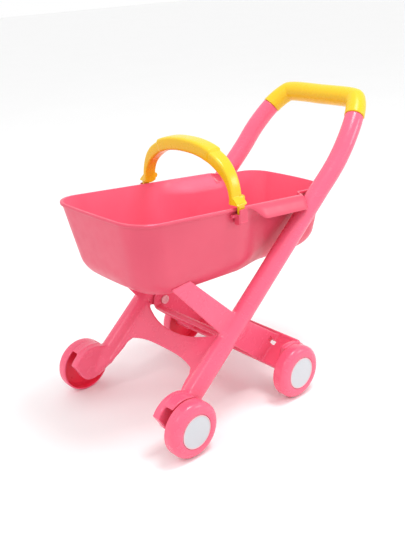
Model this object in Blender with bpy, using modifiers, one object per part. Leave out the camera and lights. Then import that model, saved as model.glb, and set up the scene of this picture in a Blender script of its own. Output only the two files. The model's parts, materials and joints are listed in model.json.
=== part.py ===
"""Doll stroller: a push frame on four wheels that carries a lift-off tub with its own handle.

Units are metres, +Z is up, -Y is the front and X runs across. The origin lies on the floor at
the centre of the whole stroller. Every piece is modelled in stations counted from the front
axle, and one empty, "stroller", carries that frame to the origin.
"""
import bmesh
import bpy
from math import asin, atan, cos, degrees, pi, radians, sin, sqrt
from mathutils import Matrix, Vector

# ---- driving dimensions -------------------------------------------------------------------
FRONT_AXLE_Y = -0.2427          # front axle, from the middle of the stroller's length
GAP = 0.0003                    # between pieces that touch
BORE_GAP = 0.0001               # round a pin or an axle, inside its bore

WHEEL_R = 0.050
WHEEL_OUTER_X = 0.174           # outer face of every wheel
WHEEL_WIDTH = 0.026
WHEELBASE = 0.2584
AXLE_R = 0.004
AXLE_END = 0.0224               # how far an axle reaches past a wheel's inner side
CAP_R = 0.0300
NUT_SEAT = 0.0200               # from a wheel's inner side to the seat of its push nut
NUT_R = 0.0085
HUB_R = 0.0125                  # hollow round a push nut, behind the cap
BOSS_R = 0.0125                 # boss of a leg end, round the axle
SHOULDER = [(0.0360, 0.0), (0.0410, 0.0006), (0.0455, 0.0028), (0.0485, 0.0068), (0.0500, 0.0118)]

TUBE_X = 0.1195                 # push tubes, half their spacing
TUBE_R = 0.01775
TUBE_WALL = 0.0026
TUBE_SLOPE = 0.858              # rise of a tube for each metre towards the rear
TUBE_Z0 = 0.0474                # height of the tube's axis over the front axle
TUBE_FOOT = 0.056               # where the tube starts, along its axis
TUBE_BEND = 0.545               # where the tube starts to bend inwards, along its axis
TUBE_TOP_STEP = 12              # path step at which the tube gives way to the handle core

GRIP_Y = 0.520                  # crossbar of the push handle
GRIP_Z = 0.505
GRIP_CORNER_X = 0.093
GRIP_R = 0.0150                 # core tube under the grip
COVER_WALL = 0.0030
COVER_GAP = 0.0010              # the sleeve is faceted, so it stands further off its tube

HOOD_R = 0.0515                 # mudguard round the front wheel's inner side
HOOD_X0 = 0.1130
HOOD_X1 = 0.1290
HOOD_FROM, HOOD_TO = 150, 24    # degrees, from the rear over the top to the front
HOOD_UNDER = [(-0.026, -0.002), (-0.015, -0.011), (0.000, -0.0145), (0.014, -0.011), (0.026, -0.0015)]
HOOD_BLIND = 0.006              # left of the hood's wall at the axle's inner end
FENDER_X1 = 0.1470
FENDER_T = 0.0037
FENDER_FROM, FENDER_TO = 145, 72
FENDER_ROOT = 0.0040            # how deep the fender and the boss go into the hood

WEB_T = 0.0060                  # arched web between the front legs
LEG_INNER_X = 0.0905
ARCH_HALF = 0.0850
ARCH_TOP = 0.1010
ARCH_DROP = 0.0110              # how much lower the arch is at its corners
ARCH_POWER = 3.2                # a high power keeps the arch flat in the middle
ARCH_CORNER_R = 0.0060
ARCH_CORNER = 0.0780            # height of the corner's centre, along the tube
WEB_FOOT = [(0.0905, 0.058), (0.0945, 0.046), (0.1013, 0.040)]  # (x, along) where it meets a leg
WEB_HEAD = [(0.1013, 0.168), (0.0935, 0.164)]
WEB_TOP_MID = 0.1350
WEB_TOP_SIDE = 0.1580
WEB_TOP_POWER = 2.2
ARM_X = 0.1195                  # support arms: thin plates that stand on the tubes
ARM_T = 0.0042
ARM_ALONG = 0.1840              # where an arm's middle line crosses the tube's axis
ARM_LEAN = 0.117                # run inwards for each metre of rise
ARM_OUTLINE = [(-0.0240, 0.012), (-0.0205, 0.022), (-0.0175, 0.158), (0.0145, 0.137), (0.0225, 0.024),
               (0.0255, 0.012)]  # (along the tube, above it)
LUG_X = 0.1090
LUG_T = 0.0110
LUG_R = 0.0150
LUG_HALF = 0.0260               # half its length where it meets the tube
LUG_TOP = -0.0080               # its upper edge, from the tube's axis

PIVOT_Y = 0.1620                # where the rear frame folds
PIVOT_Z = 0.1510
PIVOT_R = 0.0050
PIN_HEAD = [(0.0090, -0.0002), (0.0090, -0.0022), (0.0080, -0.0030), (0.0050, -0.0030), (0.0044, -0.0016),
            (0.0000, -0.0016)]  # (radius, place along the pin)
PIN_SNAP = [(0.0000, 0.0027), (0.0072, 0.0027), (0.0078, 0.0017), (0.0078, 0.0000)]
PIN_PLAY = 0.0026               # from the lug to the pin's snap end
ARM_IN_X = 0.0955               # rear arms
ARM_OUT_X = 0.1000
ARM_PIVOT_R = 0.0250
STOP_Y = 0.1470                 # round bar that ties the rear arms together
STOP_Z = 0.1400
STOP_R = 0.0055
PANEL_TOP_YZ = (0.2820, 0.0980)
PANEL_LOW_YZ = (0.2300, 0.0590)
PANEL_HALF = 0.1465
PANEL_T = 0.0040
FLANGE_LOW, FLANGE_TOP = 0.0090, 0.0110     # how far the panel's edges turn back
CHEEK_T = 0.0100                # cheeks of the panel, beside the rear wheels
CHEEK_R, CHEEK_FOOT_R = 0.0500, 0.0150
WINDOWS = [(0.0760, 0.0090, 0.0040, 0.044),     # (x, width, height, place up the panel)
           (0.0980, 0.0150, 0.0090, 0.042)]

TUB_RIM_Z = 0.3983              # rim height over the front axle
TUB_PITCH = -0.097              # the rim falls towards the rear
TUB_FRONT_Y = -0.048
TUB_REAR_Y = 0.430
TUB_HALF = 0.1195
TUB_REAR_HALF = 0.0985          # the rear part passes between the tubes
TUB_DEPTH_FRONT = 0.1400
TUB_DEPTH_REAR = 0.1160
TUB_WALL = 0.0024
TUB_CORNER_FRONT = 0.0500
TUB_CORNER_REAR = 0.0400
TUB_CORNER_STEPS = 5
TUB_ROUND_FROM = 0.72           # share of the depth at which the wall starts to turn under
WALL_SHARES = [0.08, 0.15, 0.24, 0.48, 0.72, 0.82, 0.91, 0.97, 1.0]
RIM_NARROWS = (0.3185, 0.0180)  # where the rim steps in behind the lips, and over what length
WAIST_NARROWS = (0.1850, 0.0650)
TUB_STATIONS = [0.050, 0.100, 0.150, 0.184, 0.191, 0.198, 0.205, 0.230, 0.260, 0.290, 0.317,
                0.3215, 0.326, 0.331, 0.337, 0.362]
LIP_START = 0.1850              # the rim's lips, where the tub rests on the tubes
LIP_END = 0.3195
LIP_LINES = [((0.0004, 0.0000), (0.0010, 0.0000)),      # (reach, fall) of the edge, and of a lip
             ((0.0018, 0.0008), (0.0080, 0.0034)),
             ((0.0022, 0.0042), (0.0165, 0.0190)),
             ((0.0014, 0.0048), (0.0143, 0.0196)),
             ((0.0006, 0.0052), (0.0062, 0.0062)),
             ((0.0000, 0.0062), (0.0000, 0.0072))]

CARRY_Y = 0.1625                # carry handle's pivot
CARRY_Z = 0.3700
CARRY_X = 0.1262                # tongues, outside the tub's wall
SOCKET_WALL, SOCKET_T = 0.0006, 0.0116      # gap to the tub's rim line, and depth across X
SOCKET_HALF = 0.0100
SOCKET_LOW, SOCKET_TOP = -0.0130, 0.0045    # from the pivot
SLOT_T = 0.0062
SLOT_LOW = -0.0085
CARRY_FOOT = 0.0190             # from the pivot up to the strap's foot
CARRY_RISE = 0.0830             # from the foot to the middle of the strap's top
CARRY_SQUARE = 0.87             # 1 is an ellipse, and a smaller power is squarer
STRAP_X = 0.1140                # the strap's legs stand over the rim
STRAP_T = 0.0084
STRAP_W = 0.0210
GRIP_T = 0.0240                 # the strap's middle, where a hand holds it
GRIP_W = 0.0300
TONGUE_T = 0.0052
TONGUE_W = 0.0120
FOOT_UNDER = [(0.0105, 0.0192), (0.0045, 0.0168), (0.0, 0.0160)]    # (y, z) under a foot
FOOT_TOP = 0.0250
FOOT_EDGE = 0.0004              # a foot is this much wider than what it joins
TONGUE_TOP = 0.0220
PIN_R = 0.0024
PIN_BORE_R = 0.0026
STRAP_STEPS = 11

# ---- worked out from them -------------------------------------------------------------------
TUBE_ANGLE = atan(TUBE_SLOPE)
ALONG = Vector((0, cos(TUBE_ANGLE), sin(TUBE_ANGLE)))
ABOVE = Vector((0, -sin(TUBE_ANGLE), cos(TUBE_ANGLE)))
WHEEL_INNER_X = WHEEL_OUTER_X - WHEEL_WIDTH
PIVOT = Vector((0, PIVOT_Y, PIVOT_Z))
FRONT_AXLE = Vector((0, 0, WHEEL_R))
REAR_AXLE = Vector((0, WHEELBASE, WHEEL_R))
PANEL_TOP = Vector((0, *PANEL_TOP_YZ))
PANEL_LOW = Vector((0, *PANEL_LOW_YZ))
CARRY_PIVOT = Vector((0, CARRY_Y, CARRY_Z))
FOOT_IN_X = STRAP_X - STRAP_T / 2 - FOOT_EDGE
FOOT_OUT_X = CARRY_X + TONGUE_T / 2 + FOOT_EDGE
PANEL_UP = (PANEL_TOP - PANEL_LOW).normalized()
PANEL_OUT = Vector((0, -PANEL_UP.z, PANEL_UP.y))

PINK = (1.0, 0.165, 0.300, 1)
PINK_TUB = (0.86, 0.150, 0.250, 1)
YELLOW = (1.0, 0.640, 0.010, 1)
GREY = (0.680, 0.700, 0.730, 1)
STEEL = (0.600, 0.600, 0.620, 1)
STEEL_FINISH = (0.3, 0.9)       # roughness and metallic

for stale in list(bpy.data.objects):
    bpy.data.objects.remove(stale, do_unlink=True)
PARTS = bpy.data.collections.new("doll_stroller")
CUTTERS = bpy.data.collections.new("cutters")
bpy.context.scene.collection.children.link(PARTS)
bpy.context.scene.collection.children.link(CUTTERS)


# ---- helpers ----------------------------------------------------------------------------------
def material(name, color, roughness=0.35, metallic=0.0):
    mat = bpy.data.materials.new(name)
    mat.use_nodes = True
    shader = mat.node_tree.nodes["Principled BSDF"]
    shader.inputs["Base Color"].default_value = color
    shader.inputs["Roughness"].default_value = roughness
    shader.inputs["Metallic"].default_value = metallic
    mat.diffuse_color = color
    return mat


def add_object(name, mesh, color, roughness=0.35, metallic=0.0):
    obj = bpy.data.objects.new(name, mesh)
    PARTS.objects.link(obj)
    if color is not None:
        mesh.materials.append(material(name, color, roughness, metallic))
    return obj


def as_cutter(obj):
    """Moves a helper solid to the cutters, out of the parts."""
    PARTS.objects.unlink(obj)
    CUTTERS.objects.link(obj)
    obj.hide_render = True
    obj.display_type = "WIRE"
    return obj


def boolean(obj, other, operation):
    mod = obj.modifiers.new(operation.lower(), "BOOLEAN")
    mod.operation = operation
    mod.solver = "EXACT"
    mod.object = as_cutter(other)


def mesh_from_curve(curve_obj, name, color):
    """Turns a curve into a welded mesh object, so that it can be joined or cut."""
    bpy.context.view_layer.update()
    evaluated = curve_obj.evaluated_get(bpy.context.evaluated_depsgraph_get())
    mesh = bpy.data.meshes.new_from_object(evaluated)
    bm = bmesh.new()
    bm.from_mesh(mesh)
    bmesh.ops.remove_doubles(bm, verts=bm.verts, dist=1e-6)
    bmesh.ops.recalc_face_normals(bm, faces=bm.faces)
    bm.to_mesh(mesh)
    bm.free()
    mesh.materials.clear()
    obj = add_object(name, mesh, color)
    obj.matrix_world = curve_obj.matrix_world
    bpy.data.objects.remove(curve_obj, do_unlink=True)
    return obj


def plate(name, outline, thickness, place, color):
    """A flat outline, extruded by half its thickness to both sides of its own plane."""
    curve = bpy.data.curves.new(name + "_outline", "CURVE")
    curve.dimensions = "2D"
    curve.fill_mode = "BOTH"
    curve.extrude = thickness / 2
    spline = curve.splines.new("POLY")
    spline.points.add(len(outline) - 1)
    for point, (u, v) in zip(spline.points, outline):
        point.co = (u, v, 0, 1)
    spline.use_cyclic_u = True
    obj = bpy.data.objects.new(name + "_outline", curve)
    PARTS.objects.link(obj)
    obj.matrix_world = place
    return mesh_from_curve(obj, name, color)


def side_place(x_mid):
    """Puts an outline drawn in (y, z) upright, across X at x_mid."""
    return Matrix(((0, 0, 1, x_mid), (1, 0, 0, 0), (0, 1, 0, 0), (0, 0, 0, 1)))


def web_place():
    """Puts an outline drawn in (x, along) into the plane of the two tubes."""
    return Matrix(((1, 0, 0, 0), (0, ALONG.y, ABOVE.y, 0),
                   (0, ALONG.z, ABOVE.z, TUBE_Z0), (0, 0, 0, 1)))


def tube_place(x_mid, lean=0.0):
    """Puts an outline drawn in (along, above) beside the tube, leaning inwards as it rises."""
    rise = (ABOVE - Vector((lean, 0, 0))).normalized()
    across = ALONG.cross(rise)
    return Matrix(((ALONG.x, rise.x, across.x, x_mid), (ALONG.y, rise.y, across.y, 0),
                   (ALONG.z, rise.z, across.z, TUBE_Z0), (0, 0, 0, 1)))


def arc(cy, cz, radius, start, end, steps):
    """Points on an arc, angles in degrees from +u towards +v."""
    turn = [radians(start + (end - start) * k / steps) for k in range(steps + 1)]
    return [(cy + radius * cos(a), cz + radius * sin(a)) for a in turn]


def turned(name, profile, color, steps=32, roughness=0.35, metallic=0.0):
    """A closed profile of (radius, height), turned round local Z, which then points to +X."""
    mesh = bpy.data.meshes.new(name)
    count = len(profile)
    mesh.from_pydata([(r, 0, h) for r, h in profile], [(k, (k + 1) % count) for k in range(count)], [])
    obj = add_object(name, mesh, color, roughness, metallic)
    add_screw(obj, steps)
    return obj


def turned_solid(name, profile, color, steps=24, roughness=0.35, metallic=0.0):
    """An open profile that starts and ends on the axis, turned round local Z."""
    mesh = bpy.data.meshes.new(name)
    mesh.from_pydata([(r, 0, h) for r, h in profile], [(k, k + 1) for k in range(len(profile) - 1)], [])
    obj = add_object(name, mesh, color, roughness, metallic)
    add_screw(obj, steps)
    return obj


def add_screw(obj, steps):
    screw = obj.modifiers.new("turn", "SCREW")
    screw.axis = "Z"
    screw.steps = steps
    screw.render_steps = steps
    screw.use_merge_vertices = True
    screw.merge_threshold = 0.00002
    screw.use_smooth_shade = True


def point_to_x(obj, side, origin):
    """Turns local Z to +X or -X and moves the object's origin."""
    obj.rotation_euler = (0, side * pi / 2, 0)
    obj.location = origin


def swept(points, radius, name, segments, color, wall=0.0, radii=None):
    """A round bar along a path, or a pipe open at its ends where it has a wall."""
    curve = bpy.data.curves.new(name + "_path", "CURVE")
    curve.dimensions = "3D"
    curve.bevel_depth = radius
    curve.bevel_resolution = segments
    curve.use_fill_caps = wall == 0.0
    spline = curve.splines.new("POLY")
    spline.points.add(len(points) - 1)
    for index, (point, co) in enumerate(zip(spline.points, points)):
        point.co = (*co, 1)
        point.radius = radii[index] if radii else 1.0
    obj = bpy.data.objects.new(name + "_path", curve)
    PARTS.objects.link(obj)
    result = mesh_from_curve(obj, name, color)
    result.data.shade_smooth()
    result.data.set_sharp_from_angle(angle=radians(40))
    if wall:
        solid = result.modifiers.new("wall", "SOLIDIFY")
        solid.thickness = wall
        solid.offset = -1
    return result


def catmull(points, steps):
    """A smooth path through the given points."""
    path = []
    last = len(points) - 1
    for k in range(last):
        p0, p1 = points[max(k - 1, 0)], points[k]
        p2, p3 = points[k + 1], points[min(k + 2, last)]
        for s in range(steps):
            t = s / steps
            path.append(0.5 * (2 * p1 + (p2 - p0) * t + (2 * p0 - 5 * p1 + 4 * p2 - p3) * t ** 2
                               + (3 * p1 - p0 - 3 * p2 + p3) * t ** 3))
    path.append(points[last])
    return path


def cylinder(name, radius, x0, x1, y, z, color, segments=24, roughness=0.35, metallic=0.0):
    """A plain round bar along X."""
    mesh = bpy.data.meshes.new(name)
    bm = bmesh.new()
    bmesh.ops.create_cone(bm, cap_ends=True, segments=segments, radius1=radius, radius2=radius,
                          depth=abs(x1 - x0))
    bm.to_mesh(mesh)
    bm.free()
    obj = add_object(name, mesh, color, roughness, metallic)
    obj.rotation_euler = (0, pi / 2, 0)
    obj.location = ((x0 + x1) / 2, y, z)
    obj.data.shade_smooth()
    obj.data.set_sharp_from_angle(angle=radians(40))
    return obj


def bore(obj, radius, x0, x1, y, z, segments=20):
    """Cuts a round hole along X."""
    boolean(obj, cylinder(obj.name + "_bore", radius, x0, x1, y, z, None, segments), "DIFFERENCE")


def block(name, size, centre, color):
    mesh = bpy.data.meshes.new(name)
    bm = bmesh.new()
    bmesh.ops.create_cube(bm, size=1.0)
    bmesh.ops.scale(bm, vec=size, verts=bm.verts)
    bm.to_mesh(mesh)
    bm.free()
    obj = add_object(name, mesh, color)
    obj.location = centre
    return obj


def mirrored(obj):
    """The left-hand twin of a finished right-hand piece, with a material of its own."""
    bpy.context.view_layer.update()
    evaluated = obj.evaluated_get(bpy.context.evaluated_depsgraph_get())
    mesh = bpy.data.meshes.new_from_object(evaluated)
    mesh.transform(Matrix.Scale(-1, 4, (1, 0, 0)) @ obj.matrix_world)
    mesh.flip_normals()
    name = obj.name.replace("right_", "left_")
    twin_material = obj.data.materials[0].copy()
    twin_material.name = name
    mesh.materials.clear()
    mesh.materials.append(twin_material)
    return add_object(name, mesh, None)


def smooth_step(t):
    t = min(max(t, 0.0), 1.0)
    return t * t * (3 - 2 * t)


def on_tube(along, x=0.0, above=0.0):
    """A point given by its distance along the tube plane, its x and its height above it."""
    return Vector((x, 0, TUBE_Z0)) + ALONG * along + ABOVE * above


# ---- push frame -------------------------------------------------------------------------------
def handle_path():
    """Centre line of the right half of the push handle, from the bend to the middle."""
    bend = on_tube(TUBE_BEND, TUBE_X)
    return [bend,
            Vector((TUBE_X - 0.003, GRIP_Y - 0.070, GRIP_Z - 0.064)),
            Vector((GRIP_CORNER_X + 0.013, GRIP_Y - 0.034, GRIP_Z - 0.028)),
            Vector((GRIP_CORNER_X - 0.003, GRIP_Y - 0.009, GRIP_Z - 0.006)),
            Vector((GRIP_CORNER_X - 0.021, GRIP_Y - 0.001, GRIP_Z)),
            Vector((0, GRIP_Y, GRIP_Z))]


def upper_path():
    """The bent part of the path as a smooth curve, four steps to a stretch."""
    return catmull([on_tube(TUBE_BEND - 0.06, TUBE_X)] + handle_path(), 4)


def across_path(clear):
    """Path of what crosses the top, from the right tube's end to the left one's."""
    upper = upper_path()
    end = upper[TUBE_TOP_STEP]
    lead = (end - upper[TUBE_TOP_STEP - 1]).normalized()
    right = [end + lead * clear, end + lead * (clear + 0.003)] + upper[TUBE_TOP_STEP + 1:-4]
    return right + [Vector((-p.x, p.y, p.z)) for p in reversed(right)]


def push_tube():
    """Right push tube: straight from the leg end, then bending towards the grip."""
    points = [on_tube(TUBE_FOOT, TUBE_X)] + upper_path()[:TUBE_TOP_STEP + 1]
    return swept(points, TUBE_R, "right_push_tube", 4, PINK, TUBE_WALL)


def handle_core():
    """The pink tube across the top, which plugs into both push tubes under the grip."""
    return swept(across_path(GAP), GRIP_R, "handle_core", 2, PINK, TUBE_WALL)


def grip_cover():
    """Yellow half-open sleeve round the front and top of the handle core."""
    points = across_path(2 * GAP)
    radius = GRIP_R + COVER_WALL + COVER_GAP
    bm = bmesh.new()
    rings = []
    open_dir = (ALONG * 0.25 - ABOVE).normalized()
    sweep = radians(128)
    steps = 10
    for k, point in enumerate(points):
        before, after = points[max(k - 1, 0)], points[min(k + 1, len(points) - 1)]
        tangent = (after - before).normalized()
        down = (open_dir - tangent * open_dir.dot(tangent)).normalized()
        across = tangent.cross(down)
        ring = []
        for s in range(steps + 1):
            a = pi - sweep + 2 * sweep * s / steps
            ring.append(bm.verts.new(point + (down * cos(a) + across * sin(a)) * radius))
        rings.append(ring)
    for r0, r1 in zip(rings, rings[1:]):
        for s in range(steps):
            bm.faces.new((r0[s], r0[s + 1], r1[s + 1], r1[s]))
    mesh = bpy.data.meshes.new("grip_cover")
    bm.to_mesh(mesh)
    bm.free()
    obj = add_object("grip_cover", mesh, YELLOW)
    solid = obj.modifiers.new("wall", "SOLIDIFY")
    solid.thickness = COVER_WALL
    solid.offset = -1
    mesh.shade_smooth()
    return obj


def leg_end():
    """Right leg end: a round-fronted hood beside the wheel, with a fender and the axle boss."""
    top = [(-y, z) for y, z in arc(0, WHEEL_R, HOOD_R, HOOD_FROM, HOOD_TO, 12)]
    under = [(y, WHEEL_R + z) for y, z in HOOD_UNDER]
    hood = plate("right_leg_end", top + under, HOOD_X1 - HOOD_X0, side_place((HOOD_X0 + HOOD_X1) / 2), PINK)
    stub = swept([on_tube(-0.002, TUBE_X), on_tube(TUBE_FOOT - GAP, TUBE_X)], TUBE_R, "leg_stub", 4, None)
    boolean(hood, stub, "UNION")
    root = HOOD_X1 - FENDER_ROOT
    outer_r = HOOD_R - GAP
    band = (arc(0, WHEEL_R, outer_r, FENDER_FROM, FENDER_TO, 8)
            + arc(0, WHEEL_R, outer_r - FENDER_T, FENDER_TO, FENDER_FROM, 8))
    fender = plate("fender", [(-y, z) for y, z in band], FENDER_X1 - root,
                   side_place((FENDER_X1 + root) / 2), None)
    boolean(hood, fender, "UNION")
    boolean(hood, cylinder("axle_boss", BOSS_R, root, FENDER_X1, 0, WHEEL_R, None, 20), "UNION")
    bore(hood, AXLE_R + BORE_GAP, HOOD_X0 + HOOD_BLIND, FENDER_X1 + 0.01, 0, WHEEL_R)
    return hood


def tube_clearance(name):
    """A bar a little thicker than the right push tube, which cuts what stands against it."""
    return swept([on_tube(0.02, TUBE_X), on_tube(TUBE_BEND, TUBE_X)], TUBE_R + GAP, name, 4, None)


def support_arm(tub_cutter):
    """Right support arm: a thin plate that rises from the tube to cradle the tub."""
    outline = [(ARM_ALONG + along, above) for along, above in ARM_OUTLINE]
    arm = plate("right_support_arm", outline, ARM_T, tube_place(ARM_X, ARM_LEAN), PINK)
    boolean(arm, tube_clearance("arm_clear"), "DIFFERENCE")
    boolean(arm, tub_cutter, "DIFFERENCE")
    return arm


def pivot_lug():
    """Right lug: hangs under the tube and carries the pivot pin of the rear frame."""
    local = PIVOT - on_tube(0)
    along, above = local.dot(ALONG), local.dot(ABOVE)
    outline = [(along + LUG_HALF, LUG_TOP), (along - LUG_HALF, LUG_TOP)]
    outline += arc(along, above, LUG_R, 205, 335, 8)
    lug = plate("right_pivot_lug", outline, LUG_T, tube_place(LUG_X), PINK)
    boolean(lug, tube_clearance("lug_clear"), "DIFFERENCE")
    bore(lug, PIVOT_R + BORE_GAP, LUG_X - LUG_T, LUG_X + LUG_T, PIVOT_Y, PIVOT_Z)
    return lug


def pivot_pin():
    """Right pivot pin: a ringed head inside the arm, a shank through the lug, and a snap end."""
    length = LUG_X + LUG_T / 2 + PIN_PLAY - ARM_IN_X
    profile = [(r, length + h) for r, h in PIN_SNAP] + [(PIVOT_R, length), (PIVOT_R, 0.0)] + PIN_HEAD
    pin = turned_solid("right_pivot_pin", profile, PINK, 24)
    point_to_x(pin, 1, (ARM_IN_X - GAP, PIVOT_Y, PIVOT_Z))
    return pin


def front_web():
    """The arched panel between the front legs, in the plane of the tubes."""
    steps = [k / 8 for k in range(9)]
    half = [(ARCH_HALF * t, ARCH_TOP - ARCH_DROP * t ** ARCH_POWER) for t in steps]
    half += arc(LEG_INNER_X - ARCH_CORNER_R, ARCH_CORNER, ARCH_CORNER_R, 45, 0, 3)
    half += WEB_FOOT + WEB_HEAD
    half += [(LEG_INNER_X * t, WEB_TOP_MID + (WEB_TOP_SIDE - WEB_TOP_MID) * t ** WEB_TOP_POWER)
             for t in reversed(steps)]
    outline = half + [(-x, v) for x, v in half[-2:0:-1]]
    return plate("front_web", outline, WEB_T, web_place(), PINK)


# ---- rear frame ---------------------------------------------------------------------------------
def rear_arm_outline():
    """The arm seen from the side: round at the pivot, and as wide as the panel where it meets it."""
    run = (PANEL_TOP + PANEL_LOW) / 2 - PIVOT
    heading = degrees(asin(run.z / run.length))
    clear = PANEL_OUT * (PANEL_T / 2 + GAP)
    low, top = PANEL_LOW + clear, PANEL_TOP + clear - PANEL_UP * PANEL_T
    near_end = arc(PIVOT_Y, PIVOT_Z, ARM_PIVOT_R, heading + 90, heading + 270, 14)
    return near_end + [(low.y, low.z), (top.y, top.z)]


def window(x_mid, width, height, reach):
    """A small block that cuts a window through the panel and the arm in front of it."""
    middle = PANEL_LOW + PANEL_UP * reach
    cutter = block("window", (width, 0.03, height), (x_mid, middle.y, middle.z), None)
    cutter.rotation_euler = (pi - asin(PANEL_UP.y), 0, 0)
    return cutter


def rear_arm():
    """Right rear arm: a wide plate from the pivot down to the face of the panel."""
    arm = plate("right_rear_arm", rear_arm_outline(), ARM_OUT_X - ARM_IN_X,
                side_place((ARM_IN_X + ARM_OUT_X) / 2), PINK)
    bore(arm, PIVOT_R + BORE_GAP, ARM_IN_X - 0.01, ARM_OUT_X + 0.01, PIVOT_Y, PIVOT_Z)
    bore(arm, STOP_R + GAP, ARM_IN_X - 0.01, ARM_OUT_X + 0.01, STOP_Y, STOP_Z)
    boolean(arm, window(*WINDOWS[1]), "DIFFERENCE")
    return arm


def panel_body():
    """The slanted cross panel, with rolled flanges along its upper and lower edges."""
    profile = [PANEL_LOW - PANEL_OUT * FLANGE_LOW, PANEL_LOW - PANEL_OUT * 0.0015,
               PANEL_LOW + PANEL_UP * 0.0020, PANEL_TOP - PANEL_UP * 0.0040,
               PANEL_TOP - PANEL_UP * 0.0010 - PANEL_OUT * 0.0030, PANEL_TOP - PANEL_OUT * FLANGE_TOP]
    bm = bmesh.new()
    left = [bm.verts.new((-PANEL_HALF, p.y, p.z)) for p in profile]
    right = [bm.verts.new((PANEL_HALF, p.y, p.z)) for p in profile]
    for k in range(len(profile) - 1):
        bm.faces.new((left[k], right[k], right[k + 1], left[k + 1]))
    mesh = bpy.data.meshes.new("rear_panel")
    bm.to_mesh(mesh)
    bm.free()
    obj = add_object("rear_panel", mesh, PINK)
    solid = obj.modifiers.new("sheet", "SOLIDIFY")
    solid.thickness = PANEL_T
    solid.offset = 0
    return obj


def cheek_outline():
    """A cheek seen from the side: it covers the wheel's top and comes down round the axle."""
    y, z = REAR_AXLE.y, REAR_AXLE.z
    return (arc(y, z, CHEEK_R, 108, 20, 9) + [(y + 0.020, z + 0.002)]
            + arc(y, z, CHEEK_FOOT_R, -10, -150, 6) + [(PANEL_LOW.y + 0.0005, PANEL_LOW.z - 0.003)])


def rear_panel():
    """Cross panel of the rear frame, with its windows and a cheek beside each wheel."""
    panel = panel_body()
    for side in (1, -1):
        cheek = plate("cheek", cheek_outline(), CHEEK_T, side_place(side * (PANEL_HALF - CHEEK_T / 2)), None)
        boolean(panel, cheek, "UNION")
        bore(panel, AXLE_R + BORE_GAP, side * (PANEL_HALF - 2 * CHEEK_T), side * (PANEL_HALF + CHEEK_T),
             REAR_AXLE.y, REAR_AXLE.z)
        for x_mid, width, height, reach in WINDOWS:
            boolean(panel, window(side * x_mid, width, height, reach), "DIFFERENCE")
    return panel


# ---- wheels ---------------------------------------------------------------------------------------
def wheel(name, side, axle):
    """A cup-shaped wheel: tread, rounded shoulder, face and a long hub, open on its inner side."""
    w, hole = WHEEL_WIDTH, AXLE_R + GAP
    recess = [(hole, NUT_SEAT), (HUB_R, NUT_SEAT), (HUB_R, w - 0.0030), (CAP_R + 0.0006, w - 0.0026),
              (CAP_R + 0.0010, w)]
    shoulder = [(r, w - fall) for r, fall in SHOULDER]
    tread = [(WHEEL_R, 0.0020), (WHEEL_R - 0.0004, 0.0), (WHEEL_R - 0.0034, 0.0)]
    inside = [(WHEEL_R - 0.0036, w - 0.0095), (WHEEL_R - 0.0072, w - 0.0048), (0.0320, w - 0.0042),
              (0.0160, w - 0.0052), (0.0105, NUT_SEAT - 0.0042), (0.0095, 0.0008), (hole, 0.0008)]
    profile = recess + shoulder + tread + inside
    obj = turned(name, profile, PINK, 26)
    point_to_x(obj, side, (side * WHEEL_INNER_X, axle.y, axle.z))
    return obj


def hub_cap(name, side, axle):
    """Grey disc with a low dome and a raised edge, set into the wheel's face."""
    w = WHEEL_WIDTH
    profile = [(0, w + 0.0006), (0.0200, w + 0.0001), (CAP_R - 0.0030, w - 0.0004),
               (CAP_R - 0.0022, w + 0.0002), (CAP_R - 0.0004, w - 0.0002), (CAP_R, w - 0.0010),
               (CAP_R, w - 0.0021), (0.0130, w - 0.0024), (0.0118, w - 0.0024), (0.0118, w - 0.0052),
               (0.0100, w - 0.0052), (0.0100, w - 0.0022), (0, w - 0.0020)]
    obj = turned_solid(name, profile, GREY, 24)
    point_to_x(obj, side, (side * WHEEL_INNER_X, axle.y, axle.z))
    return obj


def push_nut(name, side, axle):
    """Spring-steel push nut that keeps a wheel on its axle."""
    low = NUT_SEAT + GAP
    hole = AXLE_R + 2 * BORE_GAP
    profile = [(hole, low + 0.0011), (NUT_R, low + 0.0006), (NUT_R, low), (hole, low)]
    obj = turned(name, profile, STEEL, 14, *STEEL_FINISH)
    point_to_x(obj, side, (side * WHEEL_INNER_X, axle.y, axle.z))
    return obj


# ---- tub ----------------------------------------------------------------------------------------------
def half_width(y, narrows):
    """Half width along the tub: wide at the front, then stepping in to pass between the tubes."""
    return TUB_HALF + (TUB_REAR_HALF - TUB_HALF) * smooth_step((y - narrows[0]) / narrows[1])


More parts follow.
